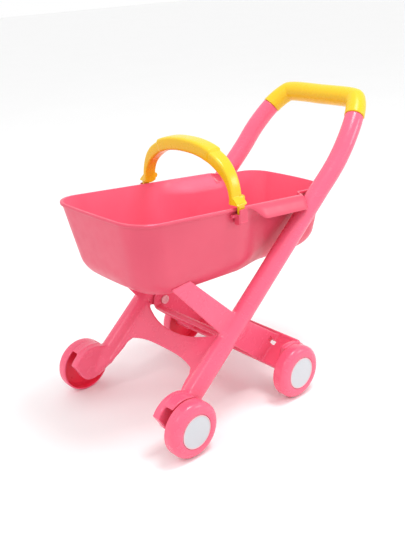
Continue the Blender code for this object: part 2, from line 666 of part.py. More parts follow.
def tub_ring(share, grow=0.0, lift=0.0):
    """One level of the tub at a share of its depth, as points from front middle round the +X side."""
    turn = 0.0
    if share > TUB_ROUND_FROM:
        turn = 1 - sqrt(max(0.0, 1 - ((share - TUB_ROUND_FROM) / (1 - TUB_ROUND_FROM)) ** 2))
    side_in = 0.015 * share + 0.026 * turn - grow
    front = TUB_FRONT_Y + 0.026 * share + 0.040 * turn - grow
    rear = TUB_REAR_Y - 0.022 * share - 0.034 * turn + grow
    blend = smooth_step(share / 0.22)
    corner_front, corner_rear = TUB_CORNER_FRONT - 0.012 * turn, TUB_CORNER_REAR - 0.008 * turn
    wide = TUB_HALF - side_in - corner_front
    end_half = TUB_REAR_HALF - side_in * TUB_REAR_HALF / TUB_HALF - corner_rear
    y0, y1 = front + corner_front, rear - corner_rear
    points = [(wide * k / 3, front - 0.0015 * (1 - k / 3)) for k in range(3)]
    points += [(wide + u, y0 + v) for u, v in arc(0, 0, corner_front, -90, 0, TUB_CORNER_STEPS)]
    rim_y0, rim_y1 = TUB_FRONT_Y + TUB_CORNER_FRONT, TUB_REAR_Y - TUB_CORNER_REAR
    for station in TUB_STATIONS:
        y = y0 + (y1 - y0) * (station - rim_y0) / (rim_y1 - rim_y0)
        half = half_width(y, RIM_NARROWS) * (1 - blend) + half_width(y, WAIST_NARROWS) * blend
        points.append((half - side_in * half / TUB_HALF, y))
    points += [(end_half + u, y1 + v) for u, v in arc(0, 0, corner_rear, 0, 90, TUB_CORNER_STEPS)]
    points += [(end_half * (1 - k / 3), rear + 0.0040 * k / 3) for k in range(1, 4)]
    ring = []
    for x, y in points:
        back = (y - TUB_FRONT_Y) / (TUB_REAR_Y - TUB_FRONT_Y)
        depth = TUB_DEPTH_FRONT + (TUB_DEPTH_REAR - TUB_DEPTH_FRONT) * back
        ring.append(Vector((x, y, TUB_RIM_Z + TUB_PITCH * y - share * depth + lift)))
    return ring


def lip_ring(rim, plain, wide):
    """One line of the rolled edge outside the rim, which widens to a lip over each push tube."""
    first = 4 + TUB_CORNER_STEPS
    straight = range(first - 1, first + len(TUB_STATIONS))
    ring = []
    for k, point in enumerate(rim):
        tangent = (rim[min(k + 1, len(rim) - 1)] - rim[max(k - 1, 0)]).normalized()
        outward = Vector((1, 0, 0)) if k in straight else Vector((tangent.y, -tangent.x, 0)).normalized()
        share = smooth_step((point.y - LIP_START) / 0.018) * (1 - smooth_step((point.y - LIP_END) / 0.008))
        reach = plain[0] + (wide[0] - plain[0]) * share
        fall = plain[1] + (wide[1] - plain[1]) * share
        ring.append(point + outward * reach - Vector((0, 0, fall)))
    return ring


def lofted(name, rings, color):
    """A closed solid through level rings of half points, mirrored, and closed over at both ends."""
    bm = bmesh.new()
    grid = []
    for ring in rings:
        right = [bm.verts.new(p) for p in ring]
        left = [bm.verts.new((-p.x, p.y, p.z)) for p in ring[-2:0:-1]]
        grid.append(right + left)
    for upper, lower in zip(grid, grid[1:]):
        for k in range(len(upper)):
            after = (k + 1) % len(upper)
            bm.faces.new((upper[k], upper[after], lower[after], lower[k]))
    for end in (grid[0], grid[-1]):
        for k in range(len(end) // 2):
            corners = [end[k], end[k + 1], end[-k - 1], end[-k]]
            bm.faces.new([v for i, v in enumerate(corners) if v not in corners[:i]])
    bmesh.ops.recalc_face_normals(bm, faces=bm.faces)
    mesh = bpy.data.meshes.new(name)
    bm.to_mesh(mesh)
    bm.free()
    obj = add_object(name, mesh, color)
    mesh.shade_smooth()
    mesh.set_sharp_from_angle(angle=radians(50))
    return obj


def tub_clearance():
    """A solid a little larger than the tub's outside, used to cut the cradle."""
    return lofted("tub_clearance", [tub_ring(s, 0.0012, -0.0012) for s in [0.0] + WALL_SHARES], None)


def tub():
    rim = tub_ring(0.0)
    inside = [tub_ring(s, -TUB_WALL, TUB_WALL * s) for s in reversed([0.0] + WALL_SHARES)]
    edge = [lip_ring(rim, plain, wide) for plain, wide in LIP_LINES]
    outside = [tub_ring(s) for s in WALL_SHARES]
    return lofted("tub", inside + edge + outside, PINK_TUB)


def handle_socket():
    """Right socket on the tub's wall: a pocket whose outer cheek carries the handle's pin."""
    outline = [(CARRY_Y + y, CARRY_Z + z) for y, z in (
        (-SOCKET_HALF, SOCKET_LOW), (SOCKET_HALF, SOCKET_LOW), (SOCKET_HALF, SOCKET_TOP),
        (-SOCKET_HALF, SOCKET_TOP))]
    x_mid = TUB_HALF + SOCKET_WALL + SOCKET_T / 2
    body = plate("right_handle_socket", outline, SOCKET_T, side_place(x_mid), PINK_TUB)
    slot_high = 0.030
    slot = block("socket_slot", (SLOT_T, 4 * SOCKET_HALF, slot_high),
                 (CARRY_X, CARRY_Y, CARRY_Z + SLOT_LOW + slot_high / 2), None)
    boolean(body, slot, "DIFFERENCE")
    bore(body, PIN_BORE_R, TUB_HALF - 0.02, TUB_HALF + 0.03, CARRY_Y, CARRY_Z, 16)
    return body


def handle_pin():
    """Right pin that the carry handle swings on, from inside the socket to its head outside."""
    length = 0.0119
    profile = [(0, length + 0.0007), (0.0032, length + 0.0007), (0.0036, length), (PIN_R, length),
               (PIN_R, 0.0), (0, 0.0)]
    pin = turned_solid("right_handle_pin", profile, PINK_TUB, 16)
    point_to_x(pin, 1, (TUB_HALF + SOCKET_WALL + BORE_GAP * 2, CARRY_Y, CARRY_Z))
    return pin


# ---- carry handle -----------------------------------------------------------------------------------
def strap_station(turn):
    """Middle (x, z), outward direction, width and thickness of the strap, from foot to top."""
    a = pi / 2 * turn
    middle = Vector((STRAP_X * cos(a) ** CARRY_SQUARE if turn < 1 else 0.0, 0,
                     CARRY_FOOT + CARRY_RISE * sin(a) ** CARRY_SQUARE))
    outward = Vector((cos(a) ** (2 - CARRY_SQUARE) / STRAP_X if turn < 1 else 0.0, 0,
                      sin(a) ** (2 - CARRY_SQUARE) / CARRY_RISE)).normalized()
    width = STRAP_W + (GRIP_W - STRAP_W) * smooth_step((turn - 0.45) / 0.22)
    thick = STRAP_T + (GRIP_T - STRAP_T) * smooth_step((turn - 0.15) / 0.55)
    return middle, outward, width, thick


def strap_section(station, side):
    """One cross-section of the strap: a rectangle with its four corners cut off."""
    middle, outward, width, thick = station
    cut = 0.22 * min(width, thick)
    across = [(-1, -1, 1, 0), (-1, -1, 0, 1), (-1, 1, 0, -1), (-1, 1, 1, 0),
              (1, 1, -1, 0), (1, 1, 0, -1), (1, -1, 0, 1), (1, -1, -1, 0)]
    ring = []
    for y_end, r_end, y_cut, r_cut in across:
        point = middle + outward * (r_end * thick / 2 + r_cut * cut)
        ring.append(CARRY_PIVOT + Vector((side * point.x, y_end * width / 2 + y_cut * cut, point.z)))
    return ring


def foot_outline():
    """A foot of the strap seen from the side, with an underside that clears the rim."""
    corner = FOOT_UNDER[0][0]
    under = FOOT_UNDER + [(-y, z) for y, z in FOOT_UNDER[-2::-1]]
    return [(CARRY_Y + y, CARRY_Z + z) for y, z in under + [(-corner, FOOT_TOP), (corner, FOOT_TOP)]]


def tongue_outline():
    """A tongue seen from the side: round at the pivot, and square where it joins the foot."""
    half, top = TONGUE_W / 2, CARRY_Z + TONGUE_TOP
    return arc(CARRY_Y, CARRY_Z, half, 180, 360, 6) + [(CARRY_Y + half, top), (CARRY_Y - half, top)]


def strap():
    """The bare strap, from the right foot over the top to the left one."""
    right = [(k / STRAP_STEPS, 1) for k in range(STRAP_STEPS + 1)]
    left = [(turn, -1) for turn, _ in reversed(right[:-1])]
    bm = bmesh.new()
    rings = [[bm.verts.new(co) for co in strap_section(strap_station(turn), side)]
             for turn, side in right + left]
    for r0, r1 in zip(rings, rings[1:]):
        for k in range(len(r0)):
            after = (k + 1) % len(r0)
            bm.faces.new((r0[k], r0[after], r1[after], r1[k]))
    bm.faces.new(rings[0])
    bm.faces.new(rings[-1])
    bmesh.ops.recalc_face_normals(bm, faces=bm.faces)
    mesh = bpy.data.meshes.new("carry_handle")
    bm.to_mesh(mesh)
    bm.free()
    obj = add_object("carry_handle", mesh, YELLOW)
    mesh.shade_smooth()
    mesh.set_sharp_from_angle(angle=radians(35))
    return obj


def carry_handle():
    """Yellow arched strap, thicker where a hand holds it, with a pinned tongue at each foot."""
    handle = strap()
    for side in (1, -1):
        foot = plate("foot", foot_outline(), FOOT_OUT_X - FOOT_IN_X,
                     side_place(side * (FOOT_OUT_X + FOOT_IN_X) / 2), None)
        boolean(handle, foot, "UNION")
        tongue = plate("tongue", tongue_outline(), TONGUE_T, side_place(side * CARRY_X), None)
        boolean(handle, tongue, "UNION")
        bore(handle, PIN_BORE_R, side * (CARRY_X - 0.02), side * (CARRY_X + 0.02), CARRY_Y, CARRY_Z, 16)
    return handle


# ---- assembly -------------------------------------------------------------------------------------------
def empty(name, location, parent=None):
    obj = bpy.data.objects.new(name, None)
    PARTS.objects.link(obj)
    obj.parent = parent
    obj.location = location
    return obj


def adopt(pieces, parent, pivot=Vector()):
    """Hangs pieces on an empty without moving them."""
    for piece in pieces:
        piece.parent = parent
        piece.matrix_parent_inverse = Matrix.Translation(-pivot)


def with_twins(pieces):
    return pieces + [mirrored(piece) for piece in pieces]


def build():
    stroller = empty("stroller", (0, FRONT_AXLE_Y, 0))
    fold = empty("rear_frame_pivot", PIVOT, stroller)
    swing = empty("carry_handle_pivot", CARRY_PIVOT, stroller)

    axle_end_x = WHEEL_INNER_X + AXLE_END
    front_axle = cylinder("right_front_axle", AXLE_R, HOOD_X0 + HOOD_BLIND + GAP, axle_end_x, 0, WHEEL_R,
                          STEEL, 20, *STEEL_FINISH)
    rear_axle = cylinder("rear_axle", AXLE_R, -axle_end_x, axle_end_x, REAR_AXLE.y, REAR_AXLE.z,
                         STEEL, 20, *STEEL_FINISH)
    stop_bar = cylinder("stop_bar", STOP_R, -ARM_OUT_X, ARM_OUT_X, STOP_Y, STOP_Z, PINK, 20)

    pairs = [push_tube(), leg_end(), support_arm(tub_clearance()), pivot_lug(), pivot_pin(), front_axle]
    adopt(with_twins(pairs) + [front_web(), handle_core(), grip_cover()], stroller)
    adopt(with_twins([rear_arm()]) + [rear_panel(), stop_bar, rear_axle], fold, PIVOT)
    adopt(with_twins([handle_socket(), handle_pin()]) + [tub()], stroller)
    adopt([carry_handle()], swing, CARRY_PIVOT)
    for end, axle in (("front", FRONT_AXLE), ("rear", REAR_AXLE)):
        for hand, side in (("right", 1), ("left", -1)):
            place = end + "_" + hand
            adopt([wheel(place + "_wheel", side, axle), hub_cap(place + "_cap", side, axle),
                   push_nut(place + "_push_nut", side, axle)], stroller)
    adopt(CUTTERS.objects, stroller)


build()
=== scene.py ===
import json
from math import asin, atan, copysign, cos, degrees, pi, radians, sin, sqrt

import bmesh
import bpy
import numpy as np
from mathutils import Matrix, Vector


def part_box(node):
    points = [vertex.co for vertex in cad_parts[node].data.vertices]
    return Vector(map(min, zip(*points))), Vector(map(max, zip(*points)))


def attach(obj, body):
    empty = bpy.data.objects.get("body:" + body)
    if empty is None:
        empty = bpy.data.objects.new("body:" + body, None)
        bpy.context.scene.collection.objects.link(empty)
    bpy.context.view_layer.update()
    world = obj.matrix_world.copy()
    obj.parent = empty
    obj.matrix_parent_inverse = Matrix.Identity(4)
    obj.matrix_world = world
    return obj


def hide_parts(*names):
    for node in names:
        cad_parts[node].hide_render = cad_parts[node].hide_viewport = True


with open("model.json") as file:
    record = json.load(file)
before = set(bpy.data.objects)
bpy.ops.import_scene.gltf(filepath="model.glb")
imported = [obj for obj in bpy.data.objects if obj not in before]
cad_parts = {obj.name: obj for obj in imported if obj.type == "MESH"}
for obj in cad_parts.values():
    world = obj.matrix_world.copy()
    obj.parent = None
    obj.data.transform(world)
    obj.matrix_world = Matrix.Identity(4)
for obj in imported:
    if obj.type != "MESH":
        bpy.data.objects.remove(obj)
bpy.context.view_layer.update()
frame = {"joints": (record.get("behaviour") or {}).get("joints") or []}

# ---- places, from the frame -------------------------------------------------------------------
JOINT_AT = {j["name"]: Vector(j["pos_m"]) for j in frame["joints"] if "pos_m" in j}
FRONT_AXLE = Vector((0, *JOINT_AT["front_right_wheel_spin"][1:]))
REAR_AXLE = Vector((0, *JOINT_AT["rear_right_wheel_spin"][1:]))
PIVOT = Vector((0, *JOINT_AT["rear_frame_fold"][1:]))
CARRY = Vector((0, *JOINT_AT["carry_handle_swing"][1:]))
WHEEL_LOW, WHEEL_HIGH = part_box("front_right_wheel")
WHEEL_R = (WHEEL_HIGH.z - WHEEL_LOW.z) / 2
WHEEL_WIDTH = WHEEL_HIGH.x - WHEEL_LOW.x
Y0 = FRONT_AXLE.y               # lengths along the stroller are counted from the front axle

# ---- shapes, as in the CAD: metres, with y counted from the front axle -------------------------
# push tubes
TUBE_X = 0.1195
TUBE_R, TUBE_TIP_R = 0.01775, 0.0085
TUBE_ANGLE = atan(0.858)
TUBE_Z0 = 0.0474                # height of the centre line where it passes the front axle's y
TUBE_BEND = 0.545               # distance along the tube at which it starts to bend inwards
TUBE_TOP_STEP = 12              # step of bent_path(4) at which the tube ends
GRIP_Y, GRIP_Z = 0.520, 0.505
GRIP_CORNER_X = 0.093
GRIP_R = 0.0150
SLEEVE_IN, SLEEVE_OUT = 0.0160, 0.0190
SLEEVE_HALF_TURN = 128          # degrees of the core that the sleeve covers, each way
ALONG = Vector((0, cos(TUBE_ANGLE), sin(TUBE_ANGLE)))
ABOVE = Vector((0, -sin(TUBE_ANGLE), cos(TUBE_ANGLE)))

# front leg ends; the hood is an arc round the axle, closed from below by HOOD_UNDER
HOOD_X, HOOD_HALF, HOOD_R = 0.1215, 0.0080, 0.0512
HOOD_UNDER = [(0.0390, 0.0200), (0.0300, 0.0080), (0.0190, -0.0030), (0.0080, -0.0095),
              (-0.0050, -0.0125), (-0.0170, -0.0115), (-0.0250, -0.0070), (-0.0305, 0.0000),
              (-0.0345, 0.0090), (-0.0395, 0.0170)]
BAND_X, BAND_HALF, BAND_OUT_R, BAND_IN_R = 0.1365, 0.0100, 0.0516, 0.0480
BOSS_FROM_X, BOSS_TO_X, BOSS_R = 0.125, 0.1470, 0.0125

# web, in (x, along); lugs and support arms, in (along, above)
WEB_LOW_EDGE = (0.0850, 0.1010, 0.0110, 3.2)    # half width, middle, change at the side, power
WEB_TOP_EDGE = (0.0900, 0.1350, 0.0240, 2.2)
WEB_CORNER = (0.0845, 0.0780, 0.0060)           # centre and radius
WEB_SIDE = [(0.0905, 0.0680), (0.0930, 0.0520), (0.0985, 0.0300), (0.1150, 0.0180),
            (0.1150, 0.1720), (0.0960, 0.1660)]
LUG_X, LUG_HALF, LUG_R, LUG_REACH = 0.1090, 0.0055, 0.015, 0.026
ARM_X, ARM_ALONG, ARM_LEAN = 0.1195, 0.1840, 0.117
ARM_OUTLINE = [(-0.0240, 0.012), (-0.0205, 0.022), (-0.0175, 0.158), (0.0145, 0.137),
               (0.0225, 0.024), (0.0255, 0.012)]

# rear frame
PANEL_LOW, PANEL_TOP = (0.2300, 0.0590), (0.2820, 0.0980)
PANEL_HALF = 0.1465
WINDOWS = [(0.0760, 0.0100, 0.0060, 0.044),     # x, width, height, distance up the panel
           (0.0980, 0.0150, 0.0090, 0.042)]
REAR_ARM_R = 0.0250
ARM_IN_X, ARM_OUT_X = 0.0955, 0.1000
CHEEK_OUT_R, CHEEK_IN_R = 0.0500, 0.0150
RIDGE_OUT_R, RIDGE_IN_R = 0.0508, 0.0470
STOP, STOP_HALF, STOP_R = (0.1470, 0.1400), 0.0950, 0.0055

# tub
TUB_RIM_Z = 0.3983
TUB_PITCH = -0.097
TUB_FRONT_Y, TUB_REAR_Y = -0.048, 0.430
TUB_HALF, TUB_REAR_HALF = 0.1195, 0.0985
TUB_DEPTH_FRONT, TUB_DEPTH_REAR = 0.1400, 0.1160
TUB_WALL = 0.0024
TUB_CORNER_FRONT, TUB_CORNER_REAR = 0.0500, 0.0400
TUB_ROUND_FROM = 0.72           # share of the depth below which the walls turn under
TUB_STATIONS = 90
SIDE_TAPER, FRONT_TAPER, REAR_TAPER = 0.015, 0.026, 0.022       # what a wall leans in on its way down
SIDE_TURN, FRONT_TURN, REAR_TURN = 0.026, 0.040, 0.034          # what it then turns under
FRONT_BOW, REAR_BOW = 0.0015, 0.0040
RIM_NARROWS = (0.3185, 0.0180)  # where the rim starts to narrow, and over what length
WAIST_NARROWS = (0.1760, 0.0850)
WAIST_FROM = 0.22               # share of the depth below which only the waist counts
LIP_START, LIP_END = 0.1850, 0.3195
LIP_RAMP_UP, LIP_RAMP_DOWN = 0.032, 0.010
LIP_PLAIN = [(0.0004, 0.0000), (0.0018, 0.0008), (0.0022, 0.0042), (0.0014, 0.0048),
             (0.0006, 0.0052), (0.0, 0.0062)]                   # (outwards, down) from the rim
LIP_WIDE = [(0.0010, 0.0000), (0.0080, 0.0034), (0.0160, 0.0215), (0.0138, 0.0221),
            (0.0062, 0.0062), (0.0, 0.0072)]

# wheels
WHEEL_INNER_X = 0.1480
NUT_SEAT = 0.0200
CAP_R, RING_R = 0.0300, 0.0282

# carry handle
CARRY_X, STRAP_X = 0.1262, 0.1140
CARRY_FOOT, CARRY_RISE, CARRY_SQUARE = 0.0190, 0.0830, 0.87
STRAP_WIDTH, HAND_WIDTH, PAD_WIDTH = 0.0230, 0.0050, 0.0020     # the last two are added
STRAP_THICK, HAND_THICK, PAD_THICK = 0.0100, 0.0105, 0.0035
PAD_LIFT = 0.0016
STRAP_SQUARE = 0.42             # power that makes the strap's section a rounded rectangle
TONGUE_R = 0.0060

# view, floor and lights
CAMERA_AZIMUTH, CAMERA_HEIGHT, CAMERA_ROLL = radians(48.949), radians(22.43), radians(-3.095)
CAMERA_AT = Vector((0.96389, Y0 - 0.65789, 0.76056))
CAMERA_LENS, CAMERA_SENSOR = 49.81, 36
FLOOR_SHADES, FLOOR_ROUGHNESS = (0.93, 0.95), 0.85
FLOOR_SIZE, FLOOR_Z = 12.0, -0.0006
LIGHTS = [("key", (0.5, 0.3, 2.2), (0, 0, 0.2), 0.7, 19),       # name, place, target, size, power
          ("fill", (0.1, -1.5, 1.6), (0, 0, 0.25), 0.35, 4),
          ("rear", (1.4, 1.2, 0.9), (0, 0, 0.25), 0.5, 5)]


# ---- materials ----------------------------------------------------------------------------------
MOTTLING, GLOSS, SKIN = (9, 3), (60, 4), (900, 2)   # scale and detail of each noise
SKIN_HEIGHT = 0.0002
PLASTIC_IOR = 1.49


def moulded(name, color, deep, roughness, grain=0.015):
    """Moulded plastic: faint mottling, uneven gloss and a fine skin that only close light shows."""
    mat = bpy.data.materials.new(name)
    mat.use_nodes = True
    nodes, links = mat.node_tree.nodes, mat.node_tree.links
    shader = nodes["Principled BSDF"]
    coords = nodes.new("ShaderNodeTexCoord")

    def noise(scale, detail):
        node = nodes.new("ShaderNodeTexNoise")
        node.inputs["Scale"].default_value = scale
        node.inputs["Detail"].default_value = detail
        links.new(coords.outputs["Object"], node.inputs["Vector"])
        return node.outputs["Fac"]

    def ramp(source, low, high, at=(0.35, 0.65)):
        node = nodes.new("ShaderNodeValToRGB")
        node.color_ramp.elements[0].position, node.color_ramp.elements[1].position = at
        node.color_ramp.elements[0].color = low
        node.color_ramp.elements[1].color = high
        links.new(source, node.inputs["Fac"])
        return node.outputs["Color"]

    links.new(ramp(noise(*MOTTLING), (*deep, 1), (*color, 1)), shader.inputs["Base Color"])
    low, high = roughness - 0.05, roughness + 0.06
    links.new(ramp(noise(*GLOSS), (low, low, low, 1), (high, high, high, 1)), shader.inputs["Roughness"])
    bump = nodes.new("ShaderNodeBump")
    bump.inputs["Strength"].default_value = grain
    bump.inputs["Distance"].default_value = SKIN_HEIGHT
    links.new(noise(*SKIN), bump.inputs["Height"])
    links.new(bump.outputs["Normal"], shader.inputs["Normal"])
    shader.inputs["IOR"].default_value = PLASTIC_IOR
    return mat


def drawn_steel():
    """Steel wire and sheet: fine lines along the piece, with patches of duller metal."""
    mat = bpy.data.materials.new("drawn_steel")
    mat.use_nodes = True
    nodes, links = mat.node_tree.nodes, mat.node_tree.links
    shader = nodes["Principled BSDF"]
    shader.inputs["Metallic"].default_value = 1.0
    coords = nodes.new("ShaderNodeTexCoord")
    stretch = nodes.new("ShaderNodeMapping")
    stretch.inputs["Scale"].default_value = (40, 900, 900)
    noise = nodes.new("ShaderNodeTexNoise")
    noise.inputs["Detail"].default_value = 3
    links.new(coords.outputs["Object"], stretch.inputs["Vector"])
    links.new(stretch.outputs["Vector"], noise.inputs["Vector"])
    for target, low, high in (("Base Color", 0.45, 0.68), ("Roughness", 0.22, 0.42)):
        ramp = nodes.new("ShaderNodeValToRGB")
        ramp.color_ramp.elements[0].color = (low, low, low * 1.02, 1)
        ramp.color_ramp.elements[1].color = (high, high, high * 1.02, 1)
        links.new(noise.outputs["Fac"], ramp.inputs["Fac"])
        links.new(ramp.outputs["Color"], shader.inputs[target])
    return mat


PINK = moulded("pink_plastic", (0.88, 0.118, 0.212), (0.85, 0.108, 0.198), 0.24)
# Painted shade: the tub's pink is set darker than the frame's to stand for the shade on its outer walls,
# sockets and strap pins.
TUB_PINK_PAINTED_SHADE = moulded("tub_plastic", (0.70, 0.072, 0.132), (0.67, 0.064, 0.122), 0.36)
YELLOW = moulded("yellow_plastic", (0.80, 0.530, 0.005), (0.77, 0.500, 0.004), 0.28)
GREY = moulded("grey_plastic", (0.58, 0.60, 0.63), (0.55, 0.57, 0.60), 0.45, 0.05)
# Painted light: a pale pink for the raised ring round each cap, a painted highlight, and for the pivot
# pins' heads, painted lighter than the shaded arm.
PALE_PINK_PAINTED_LIGHT = moulded("pale_pink_plastic", (0.86, 0.50, 0.54), (0.83, 0.46, 0.50), 0.30)
# Painted light: a lighter copy of the tub's pink for its inner wall and floor, which stand in the light.
TUB_INSIDE_PAINTED_LIGHT = moulded("tub_inside_plastic", (0.88, 0.145, 0.240), (0.85, 0.132, 0.222), 0.40)
# Painted shade: a deep red for the hollow inner side of each wheel.
CUP_PAINTED_SHADE = moulded("cup_plastic", (0.92, 0.040, 0.100), (0.88, 0.034, 0.086), 0.32)
STEEL = drawn_steel()


# ---- helpers --------------------------------------------------------------------------------------
def smooth_step(t):
    """From 0 to 1 with level ends."""
    t = min(max(t, 0.0), 1.0)
    return t * t * (3 - 2 * t)


def arc(cu, cv, radius, start, end, steps):
    """Points on an arc, angles in degrees from +u towards +v."""
    turn = [radians(start + (end - start) * k / steps) for k in range(steps + 1)]
    return [(cu + radius * cos(a), cv + radius * sin(a)) for a in turn]


def on_tube(along, x=0.0, above=0.0):
    """A point given by its distance along the tube plane, its x and its height above it."""
    return Vector((x, Y0, TUBE_Z0)) + ALONG * along + ABOVE * above


def finish_piece(obj, mat, body, replaced, sharp=35):
    """Shades a piece, gives it its material, ties it to its body and hides the CAD nodes it replaces."""
    obj.data.materials.clear()
    obj.data.materials.append(mat)
    obj.data.shade_smooth()
    if sharp:
        obj.data.set_sharp_from_angle(angle=radians(sharp))
    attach(obj, body)
    if replaced:
        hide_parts(*replaced)
    return obj


def tint(obj, mat, chosen):
    """Gives a second material to the faces that a test of their centre and normal picks."""
    obj.data.materials.append(mat)
    for face in obj.data.polygons:
        if chosen(face.center, face.normal):
            face.material_index = 1


def inside_tub(centre, normal):
    """The inner wall and floor face the space over the tub's middle; these faces get the lighter pink,
    as painted light.
    """
    middle = Vector((0, Y0 + (TUB_FRONT_Y + TUB_REAR_Y) / 2, TUB_RIM_Z + 0.3))
    rim_half = TUB_HALF - 0.0002 if centre.y < Y0 + LIP_END else TUB_REAR_HALF
    return normal.dot(middle - centre) > 0 and centre.z < TUB_RIM_Z + 0.002 and abs(centre.x) < rim_half


def inside_cup(at, normal, centre):
    """The hollow side of a wheel: it faces the stroller's middle, or its own axle; these faces get a
    deep red, as painted shade.
    """
    radial = Vector((0, at.y - centre.y, at.z - centre.z))
    depth = abs(at.x) - WHEEL_INNER_X
    inwards = normal.x * at.x < -0.3 * abs(at.x) and depth > 0.003
    return inwards or (radial.length > 0.015 and depth < WHEEL_WIDTH - 0.004 and normal.dot(radial) < 0)


def pin_head(centre, normal):
    """The faces of a pivot pin that show on the inner side of the rear arm; they get the pale pink, as
    painted light against the shaded arm.
    """
    return abs(centre.x) < ARM_IN_X - 0.0003


def new_object(name, bm):
    """Turns a bmesh into an object of the scene."""
    bmesh.ops.recalc_face_normals(bm, faces=bm.faces)
    mesh = bpy.data.meshes.new(name)
    bm.to_mesh(mesh)
    bm.free()
    obj = bpy.data.objects.new(name, mesh)
    bpy.context.scene.collection.objects.link(obj)
    return obj


def loft(name, rings, close_ends=True):
    """A skin through rings of points, each closed on itself."""
    bm = bmesh.new()
    grid = [[bm.verts.new(p) for p in ring] for ring in rings]
    for r0, r1 in zip(grid, grid[1:]):
        for k in range(len(r0)):
            after = (k + 1) % len(r0)
            bm.faces.new((r0[k], r0[after], r1[after], r1[k]))
    if close_ends:
        bm.faces.new(grid[0])
        bm.faces.new(grid[-1])
    return new_object(name, bm)


def path_frames(path, up):
    """Tangent and two cross directions at each point of a path, the first as near up as it can be."""
    frames = []
    for k, point in enumerate(path):
        tangent = (path[min(k + 1, len(path) - 1)] - path[max(k - 1, 0)]).normalized()
        u = (up - tangent * up.dot(tangent)).normalized()
        frames.append((point, tangent, u, tangent.cross(u)))
    return frames


def sweep(name, path, section, up):
    """A closed section of (u, v) carried along a path."""
    rings = [[point + u * a + v * b for a, b in section] for point, _, u, v in path_frames(path, up)]
    return loft(name, rings)


def lathe(name, profile, side, centre, steps=96):
    """A closed profile of (radius, height) turned round +X or -X, with its height along it."""
    bm = bmesh.new()
    rings = []
    for k in range(steps):
        a = 2 * pi * k / steps
        rings.append([bm.verts.new((centre.x + side * h, centre.y + r * cos(a), centre.z + r * sin(a)))
                      for r, h in profile])
    for k in range(steps):
        r0, r1 = rings[k], rings[(k + 1) % steps]
        for j in range(len(profile)):
            after = (j + 1) % len(profile)
            bm.faces.new((r0[j], r0[after], r1[after], r1[j]))
    bmesh.ops.remove_doubles(bm, verts=bm.verts, dist=1e-6)
    bmesh.ops.dissolve_degenerate(bm, dist=1e-7, edges=bm.edges)
    return new_object(name, bm)


def catmull(points, steps):
    """A smooth path through the given points."""
    path = []
    last = len(points) - 1
    for k in range(last):
        p0, p1 = points[max(k - 1, 0)], points[k]
        p2, p3 = points[k + 1], points[min(k + 2, last)]
        for s in range(steps):
            t = s / steps
            path.append(0.5 * (2 * p1 + (p2 - p0) * t + (2 * p0 - 5 * p1 + 4 * p2 - p3) * t ** 2
                               + (3 * p1 - p0 - 3 * p2 + p3) * t ** 3))
    path.append(points[last])
    return path


# ---- moulded bodies: solids melted together with fillets ------------------------------------------
def polygon_distance(points, outline):
    """Signed distance of 2-D points to a closed outline, below zero inside it."""
    a = np.array(outline)
    b = np.roll(a, -1, axis=0)
    edge = b - a
    best = np.full(len(points), np.inf)
    inside = np.zeros(len(points), bool)
    for start, end, along in zip(a, b, edge):
        offset = points - start
        t = np.clip(offset @ along / max(along @ along, 1e-18), 0, 1)
        best = np.minimum(best, ((offset - t[:, None] * along) ** 2).sum(1))
        turned = along[0] * offset[:, 1] - along[1] * offset[:, 0] > 0
        above, below = points[:, 1] >= start[1], points[:, 1] < end[1]
        inside ^= (above & below & turned) | (~above & ~below & ~turned)
    return np.sqrt(best) * np.where(inside, -1, 1)


class Slab:
    """A flat outline extruded to both sides of its own plane, with its edges rounded."""

    def __init__(self, outline, place, half, edge=0.0015):
        self.outline, self.place, self.half, self.edge = outline, place, half, edge

    def distance(self, points):
        inverse = np.array(self.place.inverted())
        local = points @ inverse[:3, :3].T + inverse[:3, 3]
        flat = polygon_distance(local[:, :2], self.outline) + self.edge
        through = np.abs(local[:, 2]) - self.half + self.edge
        outer = np.hypot(np.maximum(flat, 0), np.maximum(through, 0))
        return np.minimum(np.maximum(flat, through), 0) + outer - self.edge

    def add_to(self, bm):
        low = [bm.verts.new(self.place @ Vector((u, v, -self.half))) for u, v in self.outline]
        high = [bm.verts.new(self.place @ Vector((u, v, self.half))) for u, v in self.outline]
        faces = [bm.faces.new(low[::-1]), bm.faces.new(high)]
        for k in range(len(low)):
            after = (k + 1) % len(low)
            faces.append(bm.faces.new((low[k], low[after], high[after], high[k])))
        return faces


class Rod:
    """A round bar along a path, cut square at both ends, with one radius or one for each point."""

    def __init__(self, path, radius):
        self.path = path
        self.radii = radius if isinstance(radius, list) else [radius] * len(path)

    def distance(self, points):
        distance = np.full(len(points), np.inf)
        for start, end, r0, r1 in zip(self.path, self.path[1:], self.radii, self.radii[1:]):
            along = np.array(end - start)
            offset = points - np.array(start)
            t = np.clip(offset @ along / (along @ along), 0, 1)
            gap = np.linalg.norm(offset - t[:, None] * along, axis=1)
            distance = np.minimum(distance, gap - r0 - (r1 - r0) * t)
        for end, inner in ((self.path[0], self.path[1]), (self.path[-1], self.path[-2])):
            outward = np.array((end - inner).normalized())
            distance = np.maximum(distance, (points - np.array(end)) @ outward)
        return distance

    def add_to(self, bm):
        section = arc(0, 0, 1, 0, 345, 23)
        rings = [[bm.verts.new(p + (u * a + v * b) * r) for a, b in section]
                 for (p, _, u, v), r in zip(path_frames(self.path, Vector((0, -0.3, 1))), self.radii)]
        faces = [bm.faces.new(rings[0]), bm.faces.new(rings[-1][::-1])]
        for r0, r1 in zip(rings, rings[1:]):
            for k in range(len(r0)):
                after = (k + 1) % len(r0)
                faces.append(bm.faces.new((r0[k], r1[k], r1[after], r0[after])))
        return faces


